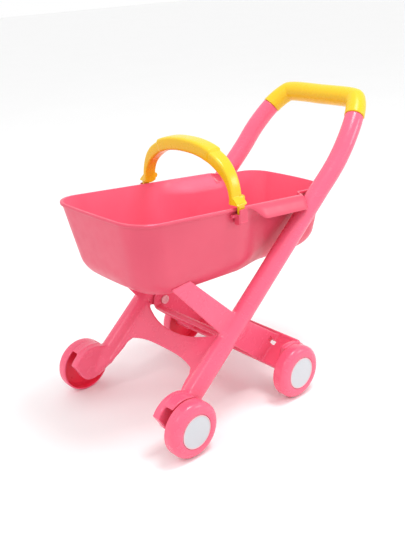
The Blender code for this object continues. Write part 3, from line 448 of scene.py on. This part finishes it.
def melted(name, solids, fillet, voxel, both_sides=True):
    """One moulded skin round the solids, and their twins across the middle plane, with fillets
    where they meet."""
    bm = bmesh.new()
    for solid in solids:
        solid.add_to(bm)
    if both_sides:
        twin = bmesh.ops.duplicate(bm, geom=bm.verts[:] + bm.edges[:] + bm.faces[:])["geom"]
        bmesh.ops.scale(bm, vec=(-1, 1, 1), verts=[v for v in twin if isinstance(v, bmesh.types.BMVert)])
    obj = new_object(name, bm)
    remesh = obj.modifiers.new("skin", "REMESH")
    remesh.mode = "VOXEL"
    remesh.voxel_size = voxel
    bpy.context.view_layer.update()
    skin = bpy.data.meshes.new_from_object(obj.evaluated_get(bpy.context.evaluated_depsgraph_get()))
    obj.modifiers.clear()
    obj.data = skin
    skin.name = name
    points = np.zeros(len(skin.vertices) * 3)
    skin.vertices.foreach_get("co", points)
    points = points.reshape(-1, 3)

    def field(at):
        if both_sides:
            at = np.column_stack([np.abs(at[:, 0]), at[:, 1], at[:, 2]])
        total = solids[0].distance(at)
        for solid in solids[1:]:
            other = solid.distance(at)
            near = np.maximum(fillet - np.abs(total - other), 0)
            total = np.minimum(total, other) - near ** 2 / (4 * fillet)
        return total

    step, least_slope, most_move, rounds = 0.0002, 0.2, 0.003, 4
    for _ in range(rounds):
        here = field(points)
        slope = np.stack([field(points + np.eye(3)[k] * step) - here for k in range(3)], 1) / step
        length = np.maximum(np.linalg.norm(slope, axis=1), least_slope)
        move = np.clip(here, -most_move, most_move)
        points -= slope / (length ** 2)[:, None] * move[:, None]
    skin.vertices.foreach_set("co", points.astype(np.float32).ravel())
    skin.update()
    return obj


def side_place(x_mid):
    """Puts an outline drawn in (y, z) upright, across X at x_mid."""
    return Matrix(((0, 0, 1, x_mid), (1, 0, 0, Y0), (0, 1, 0, 0), (0, 0, 0, 1)))


def tube_place(x_mid, lean=0.0):
    """Puts an outline drawn in (along, above) beside the tube, leaning inwards as it rises."""
    rise = (ABOVE - Vector((lean, 0, 0))).normalized()
    across = ALONG.cross(rise)
    base = on_tube(0, x_mid)
    return Matrix(((ALONG.x, rise.x, across.x, base.x), (ALONG.y, rise.y, across.y, base.y),
                   (ALONG.z, rise.z, across.z, base.z), (0, 0, 0, 1)))


def web_place():
    """Puts an outline drawn in (x, along) into the plane of the two tubes."""
    base = on_tube(0)
    return Matrix(((1, 0, 0, 0), (0, ALONG.y, ABOVE.y, base.y),
                   (0, ALONG.z, ABOVE.z, base.z), (0, 0, 0, 1)))


# ---- push frame -----------------------------------------------------------------------------------
def bent_path(steps):
    """Centre line of the right half of the push handle, from below its bend to the middle."""
    ends = [on_tube(TUBE_BEND - 0.06, TUBE_X), on_tube(TUBE_BEND, TUBE_X)]
    bend = [(TUBE_X - 0.003, -0.070, -0.064), (GRIP_CORNER_X + 0.013, -0.034, -0.028),
            (GRIP_CORNER_X - 0.003, -0.009, -0.006), (GRIP_CORNER_X - 0.021, -0.001, 0), (0, 0, 0)]
    points = ends + [Vector((x, Y0 + GRIP_Y + y, GRIP_Z + z)) for x, y, z in bend]
    return catmull(points, steps)


def web_outline():
    """The arched panel between the front legs, in (x, along)."""
    low_half, low_middle, fall, low_power = WEB_LOW_EDGE
    top_half, top_middle, rise, top_power = WEB_TOP_EDGE
    half = [(low_half * t / 16, low_middle - fall * (t / 16) ** low_power) for t in range(17)]
    half += arc(*WEB_CORNER, 45, 0, 4)
    half += WEB_SIDE
    half += [(top_half * (1 - t / 16), top_middle + rise * (1 - t / 16) ** top_power)
             for t in range(17)]
    return half + [(-x, v) for x, v in half[-2:0:-1]]


def front_frame():
    """Tubes, leg ends, arms, lugs and the web between the legs, as one moulding."""
    axle_z = FRONT_AXLE.z
    hood = [(y, axle_z + z) for y, z in arc(0, 0, HOOD_R, 150, 40, 26) + HOOD_UNDER]
    band = arc(0, axle_z, BAND_OUT_R, 122, 66, 16) + arc(0, axle_z, BAND_IN_R, 66, 122, 16)
    along, below = (PIVOT - on_tube(0)).dot(ALONG), (PIVOT - on_tube(0)).dot(ABOVE)
    lug = [(along + LUG_REACH, -0.008), (along - LUG_REACH, -0.008)]
    lug += arc(along, below, LUG_R, 205, 335, 12)
    arm = [(ARM_ALONG + u, v) for u, v in ARM_OUTLINE]
    tube = [on_tube(0.002, TUBE_X), on_tube(0.034, TUBE_X), on_tube(0.25, TUBE_X)]
    tube += bent_path(4)[:TUBE_TOP_STEP + 1]
    boss = [FRONT_AXLE + Vector((x, 0, 0)) for x in (BOSS_FROM_X, BOSS_TO_X)]
    solids = [Rod(tube, [TUBE_TIP_R] + [TUBE_R] * (len(tube) - 1)),
              Slab(hood, side_place(HOOD_X), HOOD_HALF, edge=0.0035),
              Slab(band, side_place(BAND_X), BAND_HALF, edge=0.0012),
              Rod(boss, BOSS_R),
              Slab(web_outline(), web_place(), 0.0030, edge=0.0018),
              Slab(lug, tube_place(LUG_X), LUG_HALF, edge=0.0018),
              Slab(arm, tube_place(ARM_X, ARM_LEAN), 0.0021, edge=0.0012)]
    return melted("front_frame_moulding", solids, fillet=0.0055, voxel=0.0016)


# ---- rear frame -----------------------------------------------------------------------------------
def rear_frame():
    """The two rear arms, the round bar between them and the slanted cross panel with its cheeks."""
    pivot_y, axle_y, axle_z = PIVOT.y - Y0, REAR_AXLE.y - Y0, REAR_AXLE.z
    low, top = Vector((0, *PANEL_LOW)), Vector((0, *PANEL_TOP))
    up = (top - low).normalized()
    out = Vector((0, -up.z, up.y))
    reach = (top - low).length
    face = Matrix(((1, 0, 0, 0), (0, up.y, out.y, low.y + Y0), (0, up.z, out.z, low.z), (0, 0, 0, 1)))
    run = (low + top) / 2 - Vector((0, pivot_y, PIVOT.z))
    heading = degrees(asin(run.z / run.length))
    arm = arc(pivot_y, PIVOT.z, REAR_ARM_R, heading + 90, heading + 270, 28)
    arm += [(low.y + out.y * 0.0010, low.z + out.z * 0.0010),
            (top.y - up.y * 0.0040, top.z - up.z * 0.0040)]
    sheet = [(-PANEL_HALF, 0), (PANEL_HALF, 0),
             (PANEL_HALF, reach - 0.001), (-PANEL_HALF, reach - 0.001)]

    def flange(at, deep):
        """A strip across the panel that turns back from its face."""
        foot = low + up * at + Vector((0, Y0, 0))
        place = Matrix(((1, 0, 0, 0), (0, out.y, up.y, foot.y), (0, out.z, up.z, foot.z), (0, 0, 0, 1)))
        strip = [(-PANEL_HALF, -deep), (PANEL_HALF, -deep), (PANEL_HALF, 0.0012), (-PANEL_HALF, 0.0012)]
        return Slab(strip, place, 0.0018, edge=0.0012)

    def across(point, x0, x1, radius):
        """A round bar along X."""
        at = Vector((0, Y0, 0)) + point
        return Rod([at + Vector((x0, 0, 0)), at + Vector((x1, 0, 0))], radius)

    cheek = (arc(axle_y, axle_z, CHEEK_OUT_R, 108, 20, 18) + [(axle_y + 0.020, axle_z + 0.002)]
             + arc(axle_y, axle_z, CHEEK_IN_R, -10, -150, 10) + [(low.y + 0.0005, low.z - 0.003)])
    ridge = arc(axle_y, axle_z, RIDGE_OUT_R, 106, 24, 18)
    ridge += arc(axle_y, axle_z, RIDGE_IN_R, 24, 106, 18)
    solids = [Slab(sheet, face, 0.0020, edge=0.0012),
              flange(0.0012, 0.0090),
              flange(reach - 0.0020, 0.0110),
              across(low + up * (reach - 0.0016) - out * 0.0006, 0.0, PANEL_HALF, 0.0030),
              Slab(arm, side_place((ARM_IN_X + ARM_OUT_X) / 2), (ARM_OUT_X - ARM_IN_X) / 2, edge=0.0012),
              Slab(cheek, side_place(PANEL_HALF - 0.0050), 0.0050, edge=0.0015),
              Slab(ridge, side_place(PANEL_HALF - 0.0030), 0.0042, edge=0.0012),
              across(Vector((0, *STOP)), 0.0, STOP_HALF, STOP_R)]
    obj = melted("rear_frame_moulding", solids, fillet=0.0035, voxel=0.0014)
    for side in (1, -1):
        for x_mid, width, height, at in WINDOWS:
            hole = rounded_rectangle(width / 2, height / 2, 0.0012)
            cut_away(obj, Slab([(side * x_mid + a, at + b) for a, b in hole], face, 0.02))
    return obj


def rounded_rectangle(half_u, half_v, radius, steps=4):
    """A rectangle round the origin, with its corners rounded."""
    corners = []
    for su, sv, start in ((1, 1, 0), (-1, 1, 90), (-1, -1, 180), (1, -1, 270)):
        corners += arc(su * (half_u - radius), sv * (half_v - radius), radius, start, start + 90, steps)
    return corners


def cut_away(obj, cutter):
    """Takes a solid out of a mesh for good."""
    bm = bmesh.new()
    cutter.add_to(bm)
    other = new_object(obj.name + "_cutter", bm)
    combine(obj, other, "DIFFERENCE")


def combine(obj, other, operation):
    """Joins, cuts or intersects a mesh with another, which is then gone."""
    mod = obj.modifiers.new("combine", "BOOLEAN")
    mod.operation = operation
    mod.solver = "EXACT"
    mod.object = other
    bpy.context.view_layer.update()
    result = bpy.data.meshes.new_from_object(obj.evaluated_get(bpy.context.evaluated_depsgraph_get()))
    obj.modifiers.clear()
    old = obj.data
    obj.data = result
    bpy.data.meshes.remove(old)
    bpy.data.objects.remove(other)


# ---- handle across the top ------------------------------------------------------------------------
def across_path(clear, steps=10):
    """Path from the right tube's end, across the top, to the left one's."""
    upper = bent_path(steps)
    first = TUBE_TOP_STEP * steps // 4
    end = upper[first]
    lead = (end - upper[first - 1]).normalized()
    right = [end + lead * clear, end + lead * (clear + 0.003)]
    right += [p for p in upper[first + 1:] if p.x > 0.0 and (p - right[1]).dot(lead) > 0]
    bar = [Vector((right[-1].x * (1 - 2 * k / 12), right[-1].y, right[-1].z)) for k in range(1, 12)]
    return right + bar + [Vector((-p.x, p.y, p.z)) for p in reversed(right)]


def handle_core():
    """The tube under the grip sleeve."""
    section = arc(0, 0, GRIP_R, 0, 352.5, 47)
    return sweep("handle_core_tube", across_path(-0.004), section, Vector((0, -0.3, 1)))


def grip_sleeve():
    """Half-open sleeve round the front and top of the core, with rounded edges and cut ends."""
    middle, half_wall = (SLEEVE_IN + SLEEVE_OUT) / 2, (SLEEVE_OUT - SLEEVE_IN) / 2
    first, last = 180 - SLEEVE_HALF_TURN, 180 + SLEEVE_HALF_TURN

    def edge(turn, wall, start, end):
        """The rounded edge of the sheet at an angle round the core."""
        return arc(middle * cos(radians(turn)), middle * sin(radians(turn)), wall, start, end, 6)

    def section(inset):
        """The sleeve's C-shaped section, made thinner by the inset."""
        wall = half_wall - inset
        outside = arc(0, 0, middle + wall, first, last, 56)
        inside = arc(0, 0, middle - wall, last, first, 56)
        start_cap = edge(first, wall, first - 180, first)
        end_cap = edge(last, wall, last, last + 180)
        return outside + end_cap[1:-1] + inside + start_cap[1:-1]

    path = across_path(0.0006)
    lead = (path[1] - path[0]).normalized()
    path.insert(1, path[0] + lead * 0.0007)
    mirror = Vector((-1, 1, 1))
    path.insert(-1, path[1] * mirror)
    opening = (ALONG * 0.25 - ABOVE).normalized()
    frames = path_frames(path, opening)
    rings = []
    for k, (point, _, u, v) in enumerate(frames):
        inset = 0.0006 if k in (0, len(frames) - 1) else 0.0
        rings.append([point + u * a + v * b for a, b in section(inset)])
    return loft("grip_sleeve", rings)


# ---- tub ------------------------------------------------------------------------------------------
def narrowing(y, place):
    """Half width along the tub: wide over the tubes, then narrow between them."""
    return TUB_HALF + (TUB_REAR_HALF - TUB_HALF) * smooth_step((y - place[0]) / place[1])


def tub_ring(share, grow=0.0, lift=0.0):
    """One level of the tub at a share of its depth, as points from front middle round the +X side."""
    turn = 0.0
    if share > TUB_ROUND_FROM:
        turn = 1 - sqrt(max(0.0, 1 - ((share - TUB_ROUND_FROM) / (1 - TUB_ROUND_FROM)) ** 2))
    side_in = SIDE_TAPER * share + SIDE_TURN * turn - grow
    front = TUB_FRONT_Y + FRONT_TAPER * share + FRONT_TURN * turn - grow
    rear = TUB_REAR_Y - REAR_TAPER * share - REAR_TURN * turn + grow
    blend = smooth_step(share / WAIST_FROM)
    corner_front = TUB_CORNER_FRONT - 0.012 * turn
    corner_rear = TUB_CORNER_REAR - 0.008 * turn
    wide = TUB_HALF - side_in - corner_front
    end_half = TUB_REAR_HALF - side_in * TUB_REAR_HALF / TUB_HALF - corner_rear
    y0, y1 = front + corner_front, rear - corner_rear
    points = [(wide * k / 8, front - FRONT_BOW * (1 - (k / 8) ** 2)) for k in range(8)]
    points += arc(wide, y0, corner_front, -90, 0, 16)
    for k in range(1, TUB_STATIONS):
        y = y0 + (y1 - y0) * k / TUB_STATIONS
        half = narrowing(y, RIM_NARROWS) * (1 - blend) + narrowing(y, WAIST_NARROWS) * blend
        points.append((half - side_in * half / TUB_HALF, y))
    points += arc(end_half, y1, corner_rear, 0, 90, 14)
    points += [(end_half * (1 - k / 8), rear + REAR_BOW * (1 - (1 - k / 8) ** 2))
               for k in range(1, 9)]
    ring = []
    for x, y in points:
        back = (y - TUB_FRONT_Y) / (TUB_REAR_Y - TUB_FRONT_Y)
        depth = TUB_DEPTH_FRONT + (TUB_DEPTH_REAR - TUB_DEPTH_FRONT) * back
        ring.append(Vector((x, Y0 + y, TUB_RIM_Z + TUB_PITCH * y - share * depth + lift)))
    return ring


def lip_ring(rim, plain, wide):
    """One line of the rolled edge outside the rim, which widens to a lip over each push tube."""
    ring = []
    for k, point in enumerate(rim):
        tangent = (rim[min(k + 1, len(rim) - 1)] - rim[max(k - 1, 0)]).normalized()
        outward = Vector((tangent.y, -tangent.x, 0)).normalized()
        y = point.y - Y0
        share = smooth_step((y - LIP_START) / LIP_RAMP_UP)
        share *= 1 - smooth_step((y - LIP_END) / LIP_RAMP_DOWN)
        outward = (outward * (1 - share) + Vector((1, 0, 0)) * share).normalized()
        reach, fall = (p + (w - p) * share for p, w in zip(plain, wide))
        ring.append(point + outward * reach - Vector((0, 0, fall)))
    return ring


def tub():
    """The tub's skin: inner wall, rolled rim with its two lips, and outer wall."""
    shares = [0.03 * k for k in range(24)]
    shares += [TUB_ROUND_FROM + (1 - TUB_ROUND_FROM) * sin(pi / 2 * k / 12) for k in range(13)]
    plain = catmull([Vector(p) for p in LIP_PLAIN], 3)
    wide = catmull([Vector(p) for p in LIP_WIDE], 3)
    rim = tub_ring(0.0)
    rings = [tub_ring(s, -TUB_WALL, TUB_WALL * s) for s in reversed(shares)]
    rings += [lip_ring(rim, p, w) for p, w in zip(plain, wide)]
    rings += [tub_ring(s) for s in shares[1:]]
    bm = bmesh.new()
    grid = []
    for ring in rings:
        right = [bm.verts.new(p) for p in ring]
        left = [bm.verts.new((-p.x, p.y, p.z)) for p in ring[-2:0:-1]]
        grid.append(right + left)
    for upper, lower in zip(grid, grid[1:]):
        for k in range(len(upper)):
            after = (k + 1) % len(upper)
            bm.faces.new((upper[k], upper[after], lower[after], lower[k]))
    for end in (grid[0], grid[-1]):
        for k in range(len(end) // 2):
            corners = [end[k], end[k + 1], end[-k - 1], end[-k]]
            bm.faces.new([v for i, v in enumerate(corners) if v not in corners[:i]])
    return new_object("tub_shell", bm)


def handle_socket(side):
    """Pocket on the tub's wall for a foot of the carry handle, with an outer plate and a rib."""
    name = "right_socket_moulding" if side > 0 else "left_socket_moulding"
    inner, outer = TUB_HALF + 0.0004, TUB_HALF + 0.0122
    y, z = CARRY.y - Y0, CARRY.z
    low, top, half = z - 0.0130, z + 0.0045, 0.0100
    inner_wall, outer_wall, end_wall = 0.0030, 0.0024, 0.0013
    floor_top, plate_half = z - 0.0088, 0.0085

    def box(x0, x1, y0, y1, z0, z1):
        """A block with x counted outwards from the middle."""
        outline = [(y0, z0), (y1, z0), (y1, z1), (y0, z1)]
        return Slab(outline, side_place(side * (x0 + x1) / 2), (x1 - x0) / 2, edge=0.0006)

    pocket = [box(inner, inner + inner_wall, y - half, y + half, low, top),
              box(outer - outer_wall, outer, y - half, y + half, low, top),
              box(inner, outer, y - half, y + half, low, floor_top),
              box(inner, outer, y - half, y - half + end_wall, low, top),
              box(inner, outer, y + half - end_wall, y + half, low, top)]
    plate = box(outer - 0.0012, outer + 0.0010, y - plate_half, y + plate_half, low, z + 0.0128)
    ledge = box(outer - 0.0030, outer + 0.0022, y - plate_half, y + plate_half, z - 0.0108, floor_top)
    rib = box(inner, outer - 0.0060, y - 0.0190, y - 0.0080, z + 0.0005, z + 0.0042)
    solids = pocket + [plate, ledge, rib]
    return melted(name, solids, fillet=0.0008, voxel=0.0005, both_sides=False)


# ---- carry handle ---------------------------------------------------------------------------------
def strap_ring(turn, side):
    """One cross-section of the strap, from a foot (0) to the top (1)."""
    a = pi / 2 * turn
    x = STRAP_X * cos(a) ** CARRY_SQUARE if turn < 1 else 0.0
    z = CARRY_FOOT + CARRY_RISE * sin(a) ** CARRY_SQUARE
    outward = Vector((cos(a) ** (2 - CARRY_SQUARE) / STRAP_X if turn < 1 else 0.0, 0,
                      sin(a) ** (2 - CARRY_SQUARE) / CARRY_RISE)).normalized()
    pad = smooth_step((turn - 0.640) / 0.030)
    hand = smooth_step((turn - 0.20) / 0.45)
    width = STRAP_WIDTH + HAND_WIDTH * hand + PAD_WIDTH * pad
    thick = STRAP_THICK + HAND_THICK * smooth_step((turn - 0.05) / 0.50) + PAD_THICK * pad
    x, z = x + outward.x * PAD_LIFT * pad, z + outward.z * PAD_LIFT * pad
    ring = []
    for k in range(40):
        b = 2 * pi * k / 40
        across = copysign(abs(cos(b)) ** STRAP_SQUARE, cos(b)) * width / 2
        up = copysign(abs(sin(b)) ** STRAP_SQUARE, sin(b)) * thick / 2
        ring.append(CARRY + Vector((side * (x + outward.x * up), across, z + outward.z * up)))
    return ring


def carry_handle():
    """The arched strap with its hand pad, a tongue in each socket and a stop nub behind each leg."""
    step_from, step_long, top_from, top_long = 0.62, 0.06, 0.68, 0.32    # closer at the pad's step
    turns = [step_from * k / 40 for k in range(40)]
    turns += [step_from + step_long * k / 15 for k in range(15)]
    turns += [top_from + top_long * k / 24 for k in range(25)]
    rings = [strap_ring(t, 1) for t in turns] + [strap_ring(t, -1) for t in reversed(turns[:-1])]
    obj = loft("carry_strap", rings)
    under = [(0.0112, 0.0192), (0.0080, 0.0178), (0.0045, 0.0166), (0.0, 0.0160)]
    foot = under + [(-a, b) for a, b in under[-2::-1]]
    foot += [(-0.0105, 0.0400), (0.0105, 0.0400)]
    foot_in, foot_out = STRAP_X - 0.0046, CARRY_X + 0.0027
    shoulder = [(foot_in, 0.0150), (foot_out, 0.0150), (foot_out, 0.0205), (foot_out - 0.0025, 0.0240),
                (STRAP_X + 0.0048, 0.0310), (foot_in + 0.0010, 0.0380)]
    tongue = arc(0, 0, TONGUE_R, 180, 360, 16) + [(TONGUE_R, 0.0220), (-TONGUE_R, 0.0220)]
    nub = arc(0.0115, 0.0270, 0.0050, -100, 100, 18) + [(0.0060, 0.0330), (0.0060, 0.0200)]
    for side in (1, -1):
        block = outline_solid(foot, side * (foot_in + foot_out) / 2, foot_out - foot_in)
        base = new_object("foot", block)
        front = [(side * x, v) for x, v in shoulder]
        combine(base, new_object("shoulder", front_solid(front, 0.04)), "INTERSECT")
        parts = [base, new_object("tongue", outline_solid(tongue, side * CARRY_X, 0.0052)),
                 new_object("nub", outline_solid(nub, side * (STRAP_X + 0.0010), 0.0090))]
        for part in parts:
            combine(obj, part, "UNION")
    return obj


def outline_solid(outline, x_mid, thickness):
    """An outline in (y, z) from the carry handle's pivot, extruded across X."""
    bm = bmesh.new()
    outline_at = [(CARRY.y - Y0 + a, CARRY.z + b) for a, b in outline]
    Slab(outline_at, side_place(x_mid), thickness / 2).add_to(bm)
    return bm


def front_solid(outline, thickness):
    """An outline in (x, z) from the carry handle's pivot, extruded along Y."""
    bm = bmesh.new()
    place = Matrix(((1, 0, 0, 0), (0, 0, -1, CARRY.y), (0, 1, 0, CARRY.z), (0, 0, 0, 1)))
    Slab(outline, place, thickness / 2).add_to(bm)
    return bm


# ---- wheels ---------------------------------------------------------------------------------------
def wheel(name, side, centre):
    """Cup-shaped wheel: tread, rounded shoulder, face with a recess for its cap, and a long hub."""
    w, r, bore, seat_r = WHEEL_WIDTH, WHEEL_R, 0.0043, 0.0125
    outer = [(bore, NUT_SEAT), (seat_r, NUT_SEAT), (seat_r, w - 0.0030), (CAP_R + 0.0006, w - 0.0026),
             (CAP_R + 0.0010, w - 0.0002), (CAP_R + 0.0024, w), (0.0352, w)]
    turns = [pi / 2 * k / 12 for k in range(1, 13)]
    shoulder = [(0.0500 - 0.0140 * (1 - sin(a)), w - 0.0112 * (1 - cos(a))) for a in turns]
    tread = [(r, 0.0024), (r - 0.0004, 0.0008), (r - 0.0012, 0.0), (r - 0.0032, 0.0),
             (r - 0.0036, 0.0008)]
    inside = [(r - 0.0036, w - 0.0095), (r - 0.0072, w - 0.0048), (0.0320, w - 0.0042),
              (0.0160, w - 0.0052), (0.0105, NUT_SEAT - 0.0042), (0.0095, 0.0008), (bore, 0.0008)]
    return lathe(name, outer + shoulder + tread + inside, side, centre)


def hub_cap(name, side, centre):
    """Disc with a low dome and a raised edge, set into the wheel's face."""
    w = WHEEL_WIDTH
    dome = [(0.0010 * k, w + 0.0006 - 0.0010 * (k / 27) ** 2) for k in range(0, 27, 2)]
    edge = [(RING_R, w - 0.0004), (RING_R + 0.0001, w - 0.0014), (CAP_R, w - 0.0014),
            (CAP_R, w - 0.0021)]
    back = [(0.0130, w - 0.0024), (0.0118, w - 0.0052), (0.0100, w - 0.0052), (0.0100, w - 0.0022),
            (0, w - 0.0020)]
    return lathe(name, dome + edge + back, side, centre)


def cap_ring(name, side, centre):
    """Raised ring with a round crest, seated in the step round a cap's disc; its pale pink is a painted
    highlight.
    """
    w, middle, half = WHEEL_WIDTH, (RING_R + CAP_R) / 2, (CAP_R - RING_R) / 2 - 0.0001
    crest = [(middle - half * cos(pi * k / 10), w - 0.0004 + 0.0007 * sin(pi * k / 10))
             for k in range(11)]
    return lathe(name, crest + [(middle + half, w - 0.0012), (middle - half, w - 0.0012)], side, centre)


def pivot_pin(name, side):
    """Pin with a ringed head inside the rear arm, through the arm and the lug, and a snap end."""
    length = 0.1145 + 0.0026 - ARM_IN_X
    profile = [(0, length + 0.0027), (0.0068, length + 0.0027), (0.0076, length + 0.0022),
               (0.0078, length + 0.0012), (0.0078, length), (0.0050, length), (0.0050, 0.0),
               (0.0086, -0.0001), (0.0090, -0.0006), (0.0090, -0.0020), (0.0087, -0.0027),
               (0.0080, -0.0030), (0.0054, -0.0030), (0.0048, -0.0026), (0.0044, -0.0016),
               (0, -0.0016)]
    return lathe(name, profile, side, Vector((side * (ARM_IN_X - 0.0003), PIVOT.y, PIVOT.z)), 64)


def handle_pin(name, side):
    """Pin that the carry handle swings on, with a hollow head."""
    profile = [(0, 0.0116), (0.0017, 0.0116), (0.0021, 0.0124), (0.0030, 0.0126), (0.0035, 0.0123),
               (0.0036, 0.0119), (0.0024, 0.0119), (0.0024, 0.0), (0, 0.0)]
    return lathe(name, profile, side, Vector((side * (TUB_HALF + 0.0008), CARRY.y, CARRY.z)), 48)


# ---- the stroller -----------------------------------------------------------------------------------
def build_stroller():
    """Makes every piece, ties it to its body, hides the CAD nodes it replaces, and gives axles and nuts
    their steel.
    """
    pairs = ["push_tube", "leg_end", "support_arm", "pivot_lug"]
    replaced = ["front_web"] + [side + "_" + piece for piece in pairs for side in ("right", "left")]
    finish_piece(front_frame(), PINK, "front_frame", replaced, 0)
    finish_piece(rear_frame(), PINK, "rear_frame",
                 ["right_rear_arm", "left_rear_arm", "rear_panel", "stop_bar"], 50)
    finish_piece(handle_core(), PINK, "front_frame", ["handle_core"])
    finish_piece(grip_sleeve(), YELLOW, "front_frame", ["grip_cover"], 60)
    shell = finish_piece(tub(), TUB_PINK_PAINTED_SHADE, "tub_body", ["tub"], 60)
    # The tub's inner faces get the lighter pink: painted light.
    tint(shell, TUB_INSIDE_PAINTED_LIGHT, inside_tub)
    finish_piece(carry_handle(), YELLOW, "carry_handle_body", ["carry_handle"], 50)
    for hand, side in (("right", 1), ("left", -1)):
        # The sockets and strap pins take the tub's darker pink: painted shade.
        finish_piece(handle_socket(side), TUB_PINK_PAINTED_SHADE, "tub_body", [hand + "_handle_socket"], 0)
        finish_piece(handle_pin(hand + "_strap_pin", side), TUB_PINK_PAINTED_SHADE, "tub_body",
                     [hand + "_handle_pin"])
        pin = finish_piece(pivot_pin(hand + "_fold_pin", side), PINK, "front_frame",
                           [hand + "_pivot_pin"])
        # The pin's head gets the pale pink: painted light.
        tint(pin, PALE_PINK_PAINTED_LIGHT, pin_head)
        for end, axle in (("front", FRONT_AXLE), ("rear", REAR_AXLE)):
            centre = Vector((side * WHEEL_INNER_X, axle.y, axle.z))
            name, body = end + "_" + hand, end + "_" + hand + "_roller"
            cup = finish_piece(wheel(name + "_tyre", side, centre), PINK, body,
                               [name + "_wheel"])
            # The wheel's hollow side gets the deep red: painted shade.
            tint(cup, CUP_PAINTED_SHADE, lambda at, normal: inside_cup(at, normal, centre))
            finish_piece(hub_cap(name + "_disc", side, centre), GREY, body, [name + "_cap"])
            # The ring's pale pink is a painted highlight.
            finish_piece(cap_ring(name + "_ring", side, centre), PALE_PINK_PAINTED_LIGHT, body, None)
    for node in ("right_front_axle", "left_front_axle", "rear_axle", "front_right_push_nut",
                 "front_left_push_nut", "rear_right_push_nut", "rear_left_push_nut"):
        steel_node = bpy.data.objects[node]
        steel_node.data.materials.clear()
        steel_node.data.materials.append(STEEL)


# ---- floor, light and camera ------------------------------------------------------------------------
def floor():
    """The pale ground that the stroller stands on, outside the model."""
    mat = bpy.data.materials.new("pale_floor")
    mat.use_nodes = True
    nodes, links = mat.node_tree.nodes, mat.node_tree.links
    shader = nodes["Principled BSDF"]
    coords = nodes.new("ShaderNodeTexCoord")
    noise = nodes.new("ShaderNodeTexNoise")
    noise.inputs["Scale"].default_value = 3
    ramp = nodes.new("ShaderNodeValToRGB")
    for element, shade in zip(ramp.color_ramp.elements, FLOOR_SHADES):
        element.color = (shade, shade, shade, 1)
    links.new(coords.outputs["Object"], noise.inputs["Vector"])
    links.new(noise.outputs["Fac"], ramp.inputs["Fac"])
    links.new(ramp.outputs["Color"], shader.inputs["Base Color"])
    shader.inputs["Roughness"].default_value = FLOOR_ROUGHNESS
    bm = bmesh.new()
    bmesh.ops.create_grid(bm, x_segments=1, y_segments=1, size=FLOOR_SIZE)
    obj = new_object("floor", bm)
    obj.location.z = FLOOR_Z
    obj.data.materials.append(mat)


def area_light(name, location, target, size, power):
    """A round white light that points at its target."""
    data = bpy.data.lights.new(name, "AREA")
    data.shape = "DISK"
    data.size = size
    data.energy = power
    obj = bpy.data.objects.new(name, data)
    bpy.context.scene.collection.objects.link(obj)
    obj.location = location
    obj.rotation_euler = (Vector(target) - Vector(location)).to_track_quat("-Z", "Y").to_euler()


def lighting():
    """Three soft lights in an even white room."""
    for light in LIGHTS:
        area_light(*light)
    world = bpy.data.worlds.new("studio")
    world.use_nodes = True
    world.node_tree.nodes["Background"].inputs["Color"].default_value = (1, 1, 1, 1)
    world.node_tree.nodes["Background"].inputs["Strength"].default_value = 1.0
    bpy.context.scene.world = world
    bpy.context.scene.view_settings.view_transform = "Standard"


def camera():
    """The viewing angle: turned from the front towards the right, from above, and a little rolled."""
    azimuth, height, roll = CAMERA_AZIMUTH, CAMERA_HEIGHT, CAMERA_ROLL
    back = Vector((sin(azimuth) * cos(height), -cos(azimuth) * cos(height), sin(height)))
    right = Vector((cos(azimuth), sin(azimuth), 0))
    up = back.cross(right)
    side = right * cos(roll) + up * sin(roll)
    rise = up * cos(roll) - right * sin(roll)
    data = bpy.data.cameras.new("camera")
    data.sensor_fit = "VERTICAL"
    data.sensor_height = CAMERA_SENSOR
    data.lens = CAMERA_LENS
    obj = bpy.data.objects.new("camera", data)
    bpy.context.scene.collection.objects.link(obj)
    place = Matrix((side, rise, back)).transposed().to_4x4()
    place.translation = CAMERA_AT
    obj.matrix_world = place
    bpy.context.scene.camera = obj


build_stroller()
floor()
lighting()
camera()

bpy.context.view_layer.update()
